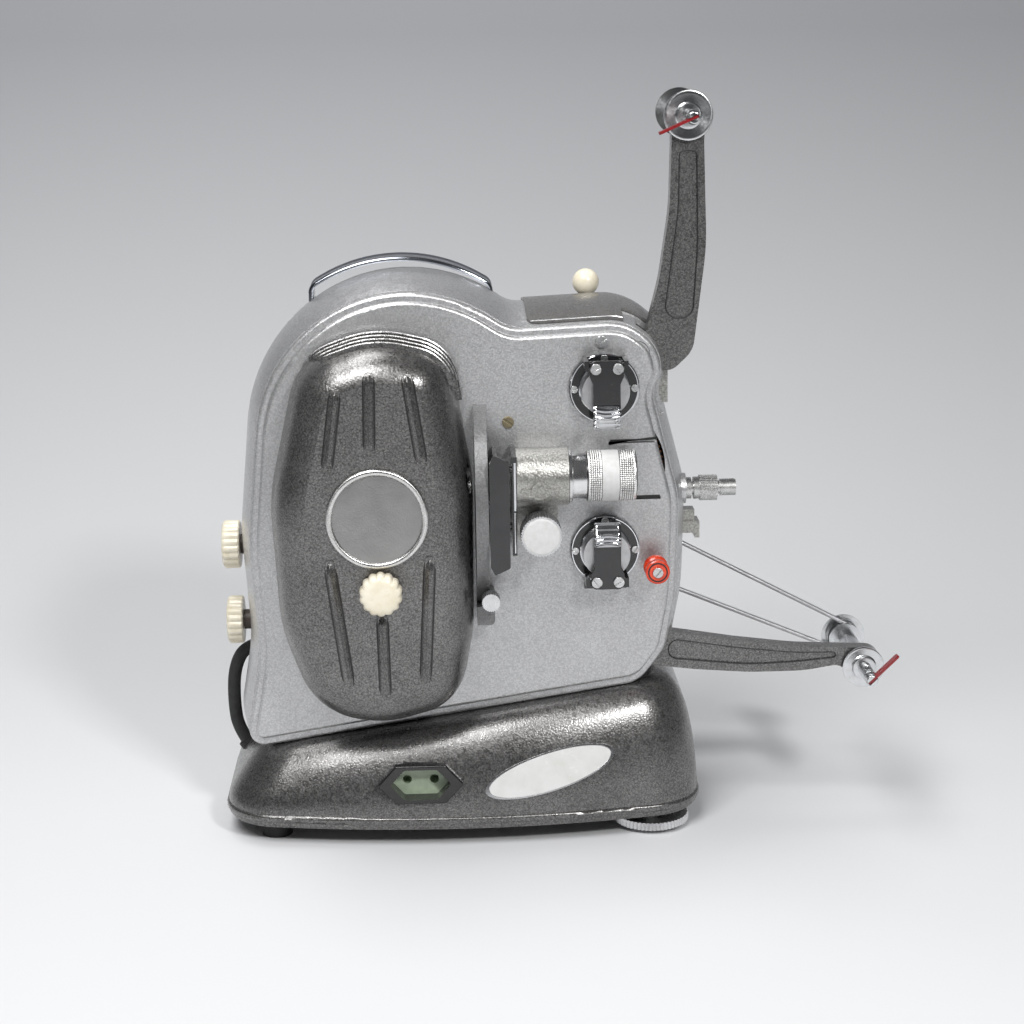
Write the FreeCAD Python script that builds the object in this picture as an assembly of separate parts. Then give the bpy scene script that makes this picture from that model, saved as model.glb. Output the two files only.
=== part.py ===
import FreeCAD, Part
import math
import os

# An 8 mm movie projector. X is the direction of projection, -Y faces the operator, Z is up.
# The origin lies on the table under the middle of the foot casting. All sizes are millimetres.

os.makedirs("parts", exist_ok=True)

# Case: planes along Y, wall and general clearances
plate_face_y = -50.0
case_front_y = -46.0
case_back_y = 58.0
cover_back_y = 61.0
wall = 3.0
gap = 0.3
running = 0.05

# The case is barrel-shaped in depth: each station is a plane and how far the outline is moved in there.
# A bead stands in front of it and carries the front plate. A flat on the right side lets the arm out.
case_stations = [(-41.0, 4.2), (-22.0, -1.0), (5.0, -3.2), (30.0, -0.9), (46.0, 2.0), (54.5, 4.8),
                 (case_back_y, 8.0)]
bead_back_y = -40.5
bead_inset = 4.9
bead_round = 2.2
plate_inset = 9.1
plate_round = 2.5
opening_inset = 13.0
back_inset = 12.0
side_flat = [(121.2, 262.0, 0), (126.0, 240.0, 0), (150.0, 240.0, 0), (150.0, 320.0, 0), (121.2, 320.0, 0)]

# Screws of the front plate, the back cover and the case floor: (x, z), (x, z) and (x, y).
# A plate screw with a reach is driven into a lug of the case that spans that far in X and Z.
plate_screws = [(83.5, 292.3), (-90.0, 118.0), (-90.0, 238.0)]
lug_reach = [(0.0, 20.0), (-40.0, 0.0), (-40.0, 0.0)]
lug_half = 6.0
lug_back_y = -38.0
guide_screw = (29.8, 247.0)
vent_count = 9
vent_pitch = 9.0
vent_width = 3.6
vent_x0 = -88.0
vent_z0 = 104.0
vent_z1 = 150.0
back_screws = [(-104.0, 90.0), (-106.0, 230.0), (-40.0, 306.0), (94.0, 288.0), (114.0, 190.0), (104.0, 108.0)]
floor_screws = [(-88.0, -34.0), (-88.0, 34.0), (88.0, -34.0), (88.0, 34.0)]
thread_r = 1.5
floor_screw_r = 2.0
screw_r = 1.45
clearance_r = 1.6
plate_head_r = 3.4
plate_head = 0.8
flange_head_r = 2.1
flange_head = 0.9
roller_head_r = 3.0
roller_head = 1.2
cover_head_r = 3.0
cover_head = 1.6

# Optical axis and drive shaft, both along X
lens_y = -70.0
lens_z = 219.0
shaft_y = -20.0
shaft_z = 199.0
shaft_r = 4.0

# Sprocket train behind the front plate, all axes along Y
sprocket_x = 85.0
upper_sprocket_z = 265.75
sprocket_gear_teeth = 27
idler_teeth = 68
pulley_gear_teeth = 20
sprocket_spacing = float(sprocket_gear_teeth + idler_teeth)
lower_sprocket_z = upper_sprocket_z - sprocket_spacing
idler_z = upper_sprocket_z - sprocket_spacing / 2
gear_y0 = -42.0
gear_y1 = -38.0
train_shaft_r = 3.0
boss_r = 7.5
flange_r = 20.0
flange_thick = 3.0
sprocket_rim_r = 13.5
sprocket_hub_r = 11.4
sprocket_front_y = -65.0
sprocket_back_y = -53.4
sprocket_rim = 2.4
sprocket_teeth = 20
worm_module = 1.5
worm_wheel_teeth = 20
worm_wheel_width = 6.0
worm_length = 18.0
worm_x = sprocket_x
worm_lead = math.pi * worm_module
worm_pitch_r = shaft_z - lower_sprocket_z - worm_module * worm_wheel_teeth / 2
worm_root_r = worm_pitch_r - 1.15 * worm_module
worm_tip_r = worm_pitch_r + 0.8 * worm_module
bearing_boss_r = 9.0
coupling_x0 = 135.6
coupling_stages = [(6.4, 3.0), (3.8, 1.5), (6.6, 3.5), (7.6, 10.4), (4.0, 1.8), (4.95, 9.3)]
coupling_knurl_r = 7.6
coupling_nose_r = 2.2
coupling_nose_length = 8.0
coupling_slot = 3.5
flange_screw_places = [(-17.4, 0.0), (17.4, 0.0), (0.0, 17.4)]

# A tooth of the sprocket gears points at the idler, which has a gap there
up_angle = math.pi / 2
idler_pitch = 2 * math.pi / idler_teeth

# Film shoe over each sprocket, measured from the sprocket's axis along the shoe
shoe_pivot = 16.2
shoe_pivot_y = -66.4
shoe_face_y = -71.0
shoe_half = 9.6
shoe_plate_thick = 2.0
shoe_plate_end = 18.6
shoe_pad_start = -7.0
shoe_pad_end = -19.5
shoe_pad_half = 7.8
shoe_pad_y0 = -73.5
shoe_pad_y1 = -69.5
shoe_ridge_r = 1.3
shoe_ridge_pitch = 3.4
shoe_screw_r = 3.3
shoe_screw_x = 5.9
shoe_screw_z = 14.6
barrel_r = 2.1
hinge_pin_r = 1.1
ear_inner = 10.0
ear_outer = 12.4
ear_start = 13.0
ear_end = 18.4
ear_front_y = -68.6
lug_start = 14.0
lower_lug_end = 23.0
flange_hole_r = 1.0

# Film roller
roller_x = 113.6
roller_z = 161.7
roller_y0 = -72.5
roller_y1 = -58.5
roller_pin_r = 2.0
roller_r = 7.0
roller_waist_r = 5.2
roller_rim = 3.2

# Take-up pulley, which is also the pivot of the lower arm
pulley_angle = math.radians(38.1)
pulley_distance = (sprocket_gear_teeth + pulley_gear_teeth) / 2
take_up_x = sprocket_x + pulley_distance * math.cos(pulley_angle)
take_up_z = lower_sprocket_z - pulley_distance * math.sin(pulley_angle)
belt_y = 20.0
belt_wire_r = 1.5
drive_belt_r = 15.4
spool_belt_r = 8.5

# Spool arms and spindles
arm_y0 = -37.0
arm_y1 = -27.0
upper_spool = (134.0, 417.5)
lower_spool = (240.5, 91.0)
upper_pivot = (104.0, 284.0)
lower_pivot = (take_up_x, take_up_z)
arm_hub_r = 10.8
arm_slot_gap = 0.6
recess_depth = 0.8
belt_slot_half = 2.6
side_clear_x = 145.0
pivot_r = 6.0
spindle_r = 4.0
spindle_tip_y = -67.0
disc_y = -40.0
disc_thick = 1.2
upper_disc_r = 14.0
lower_disc_r = 12.5
rear_disc_r = 13.8
upper_rear_y = 5.0
lower_rear_y = 24.0
spindle_hub_r = 6.5
latch_y = -64.2
seat_end_y = -61.6
spindle_axle_r = 5.0
spindle_tip_r = 3.4
latch_pin_half = 3.0
latch_thick = 1.6
latch_half_width = 2.1
latch_reach = 21.0
upper_latch_angle = 203.5
lower_latch_angle = 44.0

# Foot casting: a wedge whose top rises along X with the case standing on it. Its long sides are bowed: each
# is an arc of base_side_r at the full length, whose ends run at base_side_lean.
base_half_length = 141.0
base_half_depth = 80.0
base_corner_r = 34.0
base_side_r = 570.0
base_side_lean = 0.187
rim_z = 13.0
plate_thick = 2.0
base_bead = 1.3
base_plate_inset = 1.5
base_slope = 0.149
base_top_z = 71.3
foot_r = 9.0
base_feet = [(-112.0, -48.0), (-112.0, 52.0), (112.0, 52.0)]
wheel_x = 112.0
wheel_y = -48.0
wheel_r = 22.5
wheel_z0 = 2.7
wheel_z1 = 7.2
stem_r = 4.0
peg_r = 3.0

# Oval name plate on the front of the foot
label_x = 50.4
label_z = 43.4
label_half_l = 39.4
label_half_h = 11.2
label_tilt = 14.7
label_thick = 0.8

# Transformer in the foot, its lower left corner and the sizes of its core and window
core_x0 = -40.0
core_length = 60.0
core_depth = 40.0
core_height = 36.0
core_limb = 14.0
core_yoke = 10.0
coil_overhang = 9.0

# Mains outlet in the front of the foot: a six-sided bezel round a recessed two-pin insert
outlet_x = -25.3
outlet_z = 39.5
outlet_half_l = 25.2
outlet_half_h = 11.8
recess_half_l = 17.8
recess_half_h = 9.2
bezel_wall = 1.6
bezel_face_y = -80.5
bezel_seat_y = -76.0
insert_face_y = -70.0
insert_back_y = -60.0
pin_pitch = 16.0
pin_r = 2.65
sleeve_half_l = recess_half_l + bezel_wall
sleeve_half_h = recess_half_h + bezel_wall

# Shutter, film gate and lens
shutter_x = 12.5
shutter_thick = 1.0
shutter_r = 61.0
shutter_cover_r = 66.0
shutter_cover_x0 = 9.8
shutter_cover_x1 = 17.0
gate_x0 = 20.0
gate_x1 = 22.5
gate_front_y = -84.0
gate_low_z = 170.0
gate_high_z = 233.0
aperture_half_y = 2.4
aperture_half_z = 1.8
claw_slot_y0 = -74.2
claw_slot_y1 = -70.8
claw_x0 = 17.4
claw_x1 = 19.2
claw_z0 = 200.0
claw_z1 = 204.0
claw_throw = 1.9
cam_r = 6.0
catch_x = 17.6
catch_z = 147.8
catch_r = 1.2
catch_knob_r = 5.3
catch_knob_y0 = -78.5
catch_knob_y1 = -69.0
catch_knob_flutes = 26
holder_r = 16.5
lens_bore_r = 13.0
holder_x0 = 33.0
holder_x1 = 62.4
gate_stroke = 6.0
tongue_x0 = 38.0
tongue_x1 = 54.0
tongue_half = 3.0
gate_knob_x = 46.2
gate_knob_z = 189.6
gate_knob_r = 11.7
gate_knob_face_y = -93.5
gate_knob_y0 = -92.5
gate_knob_y1 = -78.0
gate_knob_flutes = 44
knob_shaft_r = 3.0
focus_x0 = 73.0
focus_x1 = 101.0
focus_r = 14.65
lens_tube_r = lens_bore_r - running
inner_tube_r = 10.9

# Lamp house
lamp_x = -48.0
lamp_cover_y = plate_face_y - gap
badge_x = -45.4
badge_z = 203.0
badge_r = 28.5
badge_ring = 3.2
badge_face_y = -99.0
badge_field_y = -97.6
badge_back_y = -96.0
lamp_knob_x = -44.3
lamp_knob_z = 161.8
lamp_knob_r = 12.2
lamp_knob_y0 = -111.0
lamp_knob_y1 = -99.0
lamp_knob_flutes = 14
cover_screw_r = 2.5
lamp_r = 14.0
lamp_cap_r = 10.0
condenser_x0 = -22.0
condenser_x1 = -1.0
condenser_r = 12.6

# The blown shape of the lamp cover: how far its outline has moved in at each plane
dome_stations = [(-52.0, 0.0), (-64.0, 0.7), (-77.0, 2.8), (-86.5, 6.8), (-92.5, 12.5), (-96.0, 20.5)]

# Ribs pressed into the lamp cover, each from its lower to its upper end
lamp_ribs = [(-72.5, 230, -66, 276), (-48.6, 240, -47.6, 285), (-19.5, 232, -27, 284),
             (-63.5, 103, -73, 180), (-43.6, 98, -44.2, 148), (-21, 105, -16.5, 181)]
rib_half = 2.6
rib_height = 1.3

# Stepped louvres round the top of the lamp cover
louvre_count = 4
louvre_y = -54.5
louvre_pitch = 7.0
louvre_width = 3.4

# Motor in the lower back of the case, axis along X
motor_y = 10.0
motor_z = 120.0
motor_r = 27.0
motor_x0 = -75.0
motor_x1 = -15.0
motor_bell = 4.0
motor_bell_r = 20.0
fan_x0 = -100.0
fan_x1 = -87.0
fan_r = 30.0
fan_root_r = 7.0
fan_blades = 8
motor_shaft_r = 3.0
motor_pulley_r = 8.0
main_pulley_r = 20.0
motor_belt_x0 = -4.0
motor_belt_x1 = 0.0
motor_belt_thick = 1.6

# Belt hook and arm stop that stand on the case in front of the arms: boxes as (x0, x1, y0, y1, z0, z1)
belt_hook = [(128.0, 141.6, -15.0, -5.0, 177.5, 184.4), (128.0, 144.4, -17.0, -3.0, 170.6, 177.6),
             (141.6, 144.4, -17.0, -3.0, 167.6, 171.0)]
arm_stop = (117.0, 124.2, -25.6, -18.0, 252.0, 275.0)

# Rear control knobs, axes along X
speed_knob_z = 166.4
switch_knob_z = 119.3
speed_knob_x = -141.2
switch_knob_x = -140.3
control_knob_back_x = -130.6
control_knob_r = 14.7
control_y = 0.0
control_shaft_r = 3.0
control_neck_r = 6.0
control_block_half = 14.0
control_block_x0 = -130.0
control_block_x1 = -104.0
control_shaft_end = -110.0

# Carrying handle, top lid and link cable
handle_y0 = 7.0
handle_y1 = 32.0
handle_thick = 2.2
handle_slot_z = 295.0
handle_foot = 4.0
lid_x0 = 41.9
lid_x1 = 121.0
lid_z0 = 286.0
lid_front_y = -40.0
lid_back_y = 49.0
lid_corner_r = 6.0
lid_thick = 1.4
lid_gap = 0.3
lid_cut_x = 97.0
well_x0 = 52.0
well_x1 = 100.0
well_y0 = -20.0
well_y1 = 44.0
ball_x = 81.1
ball_y = 36.0
ball_z = 315.6
ball_r = 8.1
cable_r = 4.0
grommet_r = 5.3
cable_y = 15.0
cable_route = [(-121.0, 99.5), (-132.0, 98.0), (-139.5, 84.0), (-140.7, 62.0), (-138.5, 43.0), (-128.0, 28.0)]

# Outlines are polygons with a rounding radius at each corner: (x, z, radius)
case_outline = [
    (-133.5, 51.5, 14), (-122.6, 112, 120), (-126.3, 178, 120), (-116.3, 275.7, 92), (-70.8, 321.3, 92),
    (-5.1, 330.5, 92), (33.0, 304.8, 20), (99.8, 307.8, 34), (122.4, 289.5, 29.5), (123.0, 273.0, 13),
    (118.0, 260.8, 14), (133.4, 200, 60), (131.6, 140, 120), (125, 106, 24), (112, 88.1, 24),
]
back_opening = [
    (-98, 82, 12), (-97, 240, 30), (-60, 290, 40), (-5, 298, 30), (32, 274, 20), (88, 274, 14),
    (103, 200, 40), (96, 118, 14),
]
lamp_outline = [
    (-86, 83, 44), (-104, 133, 90), (-107.5, 208, 110), (-89, 287, 40), (-45, 302, 60),
    (-3, 292, 26), (8.8, 215, 150), (7.8, 128, 60), (0, 86, 32), (-45, 74, 66),
]
upper_arm_outline = [
    (123.0, 430.5, 10), (125.0, 404.5, 60), (124.0, 366, 160), (118.0, 325, 120), (109.7, 293.0, 6),
    (98.0, 292.0, 6), (100.0, 271.5, 8), (126.0, 273.0, 10), (137.6, 284, 16), (145.0, 344, 150),
    (143.3, 404, 60), (145.5, 430.5, 10),
]
lower_arm_outline = [
    (252.0, 101.6, 9.5), (199, 104.2, 160), (163.5, 108.9, 160), (114.5, 117.2, 7), (114.0, 160, 6),
    (93.0, 160, 6), (93.0, 97.5, 14), (140, 91.6, 120), (172, 88.9, 160), (205, 88.9, 100),
    (227, 92.4, 8), (233.5, 84.0, 5), (252.0, 81.5, 9),
]
upper_recess = [(129.3, 398, 3), (129.0, 366, 150), (122.6, 318, 120), (120.5, 303, 7), (137.3, 303, 7),
                (140.0, 344, 150), (139.3, 398, 3)]
lower_recess = [(224, 100.0, 1.5), (199, 100.4, 160), (165, 104.4, 160), (124.5, 111.0, 5.5),
                (123.0, 99.0, 5.5), (172, 93.6, 160), (200, 94.6, 160), (224, 96.6, 1.5)]
handle_outline = [
    (-84.2, 291, 0), (-84.2, 319.9, 7), (-31, 350, 95), (23.6, 319.1, 7), (23.6, 291, 0),
]


def vec(x, y, z):
    return FreeCAD.Vector(x, y, z)


def box(x0, x1, y0, y1, z0, z1):
    return Part.makeBox(x1 - x0, y1 - y0, z1 - z0, vec(x0, y0, z0))


def rod_x(y, z, r, x0, x1):
    return Part.makeCylinder(r, x1 - x0, vec(x0, y, z), vec(1, 0, 0))


def rod_y(x, z, r, y0, y1):
    return Part.makeCylinder(r, y1 - y0, vec(x, y0, z), vec(0, 1, 0))


def rod_z(x, y, r, z0, z1):
    return Part.makeCylinder(r, z1 - z0, vec(x, y, z0), vec(0, 0, 1))


def ring_y(x, z, r, bore, y0, y1):
    return rod_y(x, z, r, y0, y1).cut(rod_y(x, z, bore, y0 - 1, y1 + 1))


def ring_x(y, z, r, bore, x0, x1):
    return rod_x(y, z, r, x0, x1).cut(rod_x(y, z, bore, x0 - 1, x1 + 1))


def fuse(shapes):
    first = shapes[0]
    if len(shapes) > 1:
        first = first.multiFuse(shapes[1:])
    return first.removeSplitter()


def cut(shape, tools):
    for tool in tools:
        shape = shape.cut(tool)
    return shape


def group(shapes):
    return Part.makeCompound(shapes)


def corner(points, i):
    """Start, middle and end of the rounding at corner i of a polygon, or None where it is sharp."""
    px, pz, r = points[i]
    ax, az = points[i - 1][:2]
    bx, bz = points[(i + 1) % len(points)][:2]
    la = math.hypot(ax - px, az - pz)
    lb = math.hypot(bx - px, bz - pz)
    ux, uz = (ax - px) / la, (az - pz) / la
    wx, wz = (bx - px) / lb, (bz - pz) / lb
    half = math.acos(max(-1.0, min(1.0, ux * wx + uz * wz))) / 2
    if r <= 0 or math.pi / 2 - half < 0.001:
        return None
    t = r / math.tan(half)
    bis = math.hypot(ux + wx, uz + wz)
    mx, mz = (ux + wx) / bis, (uz + wz) / bis
    cx, cz = px + mx * r / math.sin(half), pz + mz * r / math.sin(half)
    return (px + ux * t, pz + uz * t), (cx - mx * r, cz - mz * r), (px + wx * t, pz + wz * t)


def closed_wire(points, place):
    """A closed wire of straight runs and tangent arcs. place turns (a, b) into a 3-D point."""
    ends = []
    for i in range(len(points)):
        c = corner(points, i)
        ends.append(c if c is not None else (points[i][:2], None, points[i][:2]))
    for i, (start, mid, stop) in enumerate(ends):
        here, beyond = points[i][:2], points[(i + 1) % len(points)][:2]
        room = math.dist(here, beyond) - math.dist(here, stop) - math.dist(beyond, ends[(i + 1) % len(ends)][0])
        if room < -0.001:
            raise ValueError("roundings overlap by %.2f after corner %d at %s" % (-room, i, here))
    edges = []
    for i, (start, mid, stop) in enumerate(ends):
        if mid is not None:
            edges.append(Part.Arc(place(*start), place(*mid), place(*stop)).toShape())
        nxt = ends[(i + 1) % len(ends)][0]
        if math.hypot(nxt[0] - stop[0], nxt[1] - stop[1]) > 0.001:
            edges.append(Part.LineSegment(place(*stop), place(*nxt)).toShape())
    return Part.Wire(edges)


def inset(points, d, last=None):
    """The outline moved inwards by d, or outwards where d is negative. last is for the closing edge."""
    n = len(points)
    area = sum(points[i - 1][0] * points[i][1] - points[i][0] * points[i - 1][1] for i in range(n))
    side = 1.0 if area > 0 else -1.0
    lines = []
    for i in range(n):
        x0, z0 = points[i][:2]
        x1, z1 = points[(i + 1) % n][:2]
        length = math.hypot(x1 - x0, z1 - z0)
        dx, dz = (x1 - x0) / length, (z1 - z0) / length
        move = last if last is not None and i == n - 1 else d
        lines.append((x0 - dz * move * side, z0 + dx * move * side, dx, dz))
    out = []
    for i in range(n):
        ax, az, adx, adz = lines[i - 1]
        bx, bz, bdx, bdz = lines[i]
        cross = adx * bdz - adz * bdx
        t = ((bx - ax) * bdz - (bz - az) * bdx) / cross
        r = points[i][2]
        if r > 0:
            r = max(0.5, r - d if cross * side > 0 else r + d)
        out.append((ax + adx * t, az + adz * t, r))
    return out


def wire_at(points, y):
    return closed_wire(points, lambda x, z: vec(x, y, z))


def slab(points, y0, y1):
    """An outline in the XZ plane, thick from y0 to y1."""
    return Part.Face(wire_at(points, y0)).extrude(vec(0, y1 - y0, 0))


def base_plan(x0, x1, half_depth, radius):
    """Outline of the foot in X and Y: rounded corners and bowed long sides."""
    middle = (x0 + x1) / 2
    half_length = (x1 - x0) / 2
    side_r = base_side_r * half_length / base_half_length
    peak = half_depth + side_r * (math.hypot(1, base_side_lean) - 1)
    end = peak - base_side_lean * half_length
    return [(x0, -end, radius), (middle, -peak, side_r), (x1, -end, radius), (x1, end, radius),
            (middle, peak, side_r), (x0, end, radius)]


def base_slab(grown, z0, z1):
    """A flat slab with the plan of the foot, grown outwards all round."""
    plan = base_plan(-base_half_length - grown, base_half_length + grown, base_half_depth + grown,
                     base_corner_r + grown)
    return Part.Face(closed_wire(plan, lambda x, y: vec(x, y, z0))).extrude(vec(0, 0, z1 - z0))


def loft_y(points, stations, last_of=None):
    """A solid through the outline inset by d at each (y, d)."""
    wires = []
    for y, d in stations:
        last = None if last_of is None else last_of(d)
        wires.append(wire_at(inset(points, d, last), y))
    return Part.makeLoft(wires, True, False)


def round_edges(shape, radius, wanted):
    edges = [e for e in shape.Edges if wanted(e.BoundBox)]
    return shape.makeFillet(radius, edges)


def flat_at(axis, value):
    """Picks the edges that lie in the plane axis = value."""
    def wanted(b):
        low = getattr(b, axis + "Min")
        high = getattr(b, axis + "Max")
        return abs(low - value) < 0.01 and abs(high - value) < 0.01
    return wanted


def along_x(shape, x, y, z):
    """Turns a shape built along +Y about the origin so that it runs along +X from x."""
    turned = shape.copy()
    turned.rotate(vec(0, 0, 0), vec(0, 0, 1), -90)
    turned.translate(vec(x, y, z))
    return turned


def fluted(cx, cz, radius, depth, count, y0, y1):
    """A knob body along Y whose rim has rounded flutes."""
    body = rod_y(cx, cz, radius, y0, y1)
    flute_r = radius * math.pi / count * 0.6
    far = radius + flute_r - depth
    flutes = []
    for i in range(count):
        a = 2 * math.pi * i / count
        flutes.append(rod_y(cx + far * math.cos(a), cz + far * math.sin(a), flute_r, y0 - 1, y1 + 1))
    return body.cut(group(flutes))


def toothed(cx, cz, root, tip, count, y0, y1, phase, root_share, tip_share):
    """A wheel along Y with straight-sided teeth. phase is the angle of the first tooth."""
    pts = []
    for i in range(count):
        mid = phase + 2 * math.pi * i / count
        for share, r in ((-root_share, root), (-tip_share, tip), (tip_share, tip), (root_share, root)):
            a = mid + share * math.pi / count
            pts.append(vec(cx + r * math.cos(a), y0, cz + r * math.sin(a)))
    pts.append(pts[0])
    return Part.Face(Part.makePolygon(pts)).extrude(vec(0, y1 - y0, 0))


def gear(cx, cz, teeth, module, y0, y1, phase):
    pitch_r = module * teeth / 2
    return toothed(cx, cz, pitch_r - 1.15 * module, pitch_r + 0.8 * module, teeth, y0, y1, phase, 0.62, 0.26)


def belt_path(ax, az, ar, bx, bz, br, place):
    """Two arcs and two straight strands round a pulley at a and a smaller one at b."""
    angle = math.atan2(bz - az, bx - ax)
    spread = math.acos((ar - br) / math.hypot(bx - ax, bz - az))

    def on(cx, cz, r, turn):
        return place(cx + r * math.cos(turn), cz + r * math.sin(turn))

    up, down = angle + spread, angle - spread
    edges = [
        Part.Arc(on(ax, az, ar, up), on(ax, az, ar, angle + math.pi), on(ax, az, ar, down)).toShape(),
        Part.LineSegment(on(ax, az, ar, down), on(bx, bz, br, down)).toShape(),
        Part.Arc(on(bx, bz, br, down), on(bx, bz, br, angle), on(bx, bz, br, up)).toShape(),
        Part.LineSegment(on(bx, bz, br, up), on(ax, az, ar, up)).toShape(),
    ]
    return Part.Wire(edges)


def rod_between(start, stop, first, last, r):
    """A rod at the cable's depth, along the line from start to stop, from first to last along it."""
    run = math.dist(start, stop)
    ux, uz = (stop[0] - start[0]) / run, (stop[1] - start[1]) / run
    base = vec(start[0] + ux * first, cable_y, start[1] + uz * first)
    return Part.makeCylinder(r, last - first, base, vec(ux, 0, uz))


def cable_hole(start, stop):
    """The hole for a grommet round the cable, which ends at start inside the wall."""
    return rod_between(start, stop, -6, 25, grommet_r + 0.1)


def screw_y(x, z, head_r, head_y, head_thick, shank_r, end_y):
    """A slotted screw driven from the front. head_y is the outer face of its head."""
    head = rod_y(x, z, head_r, head_y, head_y + head_thick)
    slot = box(x - head_r, x + head_r, head_y - 1, head_y + head_thick * 0.45, z - 0.35, z + 0.35)
    slot.rotate(vec(x, 0, z), vec(0, 1, 0), 35)
    return fuse([head.cut(slot), rod_y(x, z, shank_r, head_y + head_thick, end_y)])


def case_solid(shrink):
    """The case outline as a solid, moved inwards by shrink on every side and at both ends."""
    low, high = case_stations[0][0] + shrink, case_back_y - shrink
    stations = [(low, case_stations[0][1] + shrink)]
    for y, d in case_stations[1:-1]:
        if low + 0.5 < y < high - 0.5:
            stations.append((y, d + shrink))
    stations.append((high, case_stations[-1][1] + shrink))
    return loft_y(case_outline, stations, lambda d: shrink)


def case_form(shrink):
    """The case moved inwards by shrink, with the flat on its right side."""
    flat = [(x - shrink, z, r) for x, z, r in side_flat]
    return case_solid(shrink).cut(slab(flat, case_front_y, case_back_y + 1))


def case_lugs():
    """Lugs in the front opening that take the screws of the front plate."""
    lugs = []
    for (x, z), (dx, dz) in zip(plate_screws, lug_reach):
        x0, x1 = sorted((x, x + dx))
        z0, z1 = sorted((z, z + dz))
        lugs.append(box(x0 - lug_half, x1 + lug_half, case_front_y, lug_back_y, z0 - lug_half, z1 + lug_half))
    return group(lugs).common(slab(inset(case_outline, opening_inset - 2), case_front_y, lug_back_y))


def case_web(pivot, reach):
    """A web behind an arm, from its pivot to the side wall."""
    px, pz = pivot
    y0, y1 = arm_y1 + arm_slot_gap, arm_y1 + 3.4
    web = fuse([rod_y(px, pz, 11, y0, y1), box(px, px + reach, y0, y1, pz - 9, pz + 9)])
    return web.common(case_form(wall / 2))


def lid_well(shrink):
    """The opening under the top lid."""
    pts = [(well_x0 + shrink, well_y0 + shrink, 5 - shrink), (well_x1 - shrink, well_y0 + shrink, 5 - shrink),
           (well_x1 - shrink, well_y1 - shrink, 5 - shrink), (well_x0 + shrink, well_y1 - shrink, 5 - shrink)]
    return Part.Face(closed_wire(pts, lambda x, y: vec(x, y, lid_z0))).extrude(vec(0, 0, 40))


def make_case():
    bead = slab(inset(case_outline, bead_inset, 0.0), case_front_y, bead_back_y)
    bead = round_edges(bead, bead_round, lambda b: b.YMax - b.YMin < 0.01 and b.ZMax > 95)
    shell = fuse([case_form(0), bead]).cut(case_form(wall))
    shell = shell.cut(slab(inset(case_outline, opening_inset), case_front_y - 1, case_stations[0][0] + wall + 1))
    shell = shell.cut(slab(back_opening, case_back_y - wall - 1, case_back_y + 1))
    slot_y0, slot_y1 = arm_y0 - arm_slot_gap, arm_y1 + arm_slot_gap
    spaces = [
        lid_well(0),
        box(upper_pivot[0] + 0.5, side_clear_x, slot_y0, slot_y1, 246, 330),
        box(lower_pivot[0] + 13, side_clear_x, slot_y0, slot_y1, 84, 159),
        box(lower_pivot[0] + 1, side_clear_x, slot_y0, slot_y1, 84, 118),
        rod_y(sprocket_x, idler_z, idler_teeth / 2 + 1.6, case_front_y, gear_y1 + 1),
        rod_y(upper_pivot[0], upper_pivot[1], boss_r + gap, case_front_y, arm_y0),
    ]
    shell = cut(shell, spaces)
    webs = [case_web(upper_pivot, 40), case_web(lower_pivot, 45)]
    stubs = [rod_y(upper_pivot[0], upper_pivot[1], pivot_r, arm_y0, arm_y1 + 1),
             rod_y(take_up_x, take_up_z, pivot_r, arm_y0, arm_y1 + 1)]
    bearing = rod_x(shaft_y, shaft_z, bearing_boss_r, 120, coupling_x0 - 0.4)
    shell = fuse([shell, bearing, case_lugs()] + webs + stubs)
    holes = [
        rod_y(take_up_x, take_up_z, train_shaft_r + running, arm_y0 - 2, arm_y1 + 8),
        rod_x(shaft_y, shaft_z, shaft_r + running, 110, 150),
        box(take_up_x + 13, side_clear_x, belt_y - belt_slot_half, belt_y + belt_slot_half, 117, 194),
        rod_x(control_y, speed_knob_z, control_neck_r + running, -140, -110),
        rod_x(control_y, switch_knob_z, control_neck_r + running, -140, -110),
        cable_hole(cable_route[0], cable_route[1]),
    ]
    for x in (handle_outline[0][0], handle_outline[-1][0] - handle_thick):
        holes.append(box(x - gap, x + handle_thick + gap, handle_y0 - gap, handle_y1 + gap, handle_slot_z, 345))
    for x, z in plate_screws:
        holes.append(rod_y(x, z, thread_r, case_front_y - 1, lug_back_y - 1))
    for x, z in back_screws:
        holes.append(rod_y(x, z, thread_r, case_back_y - wall - 1, case_back_y + 1))
    for x, y in floor_screws:
        holes.append(rod_z(x, y, floor_screw_r + running, 40, 100))
    return cut(shell, holes)


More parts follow.
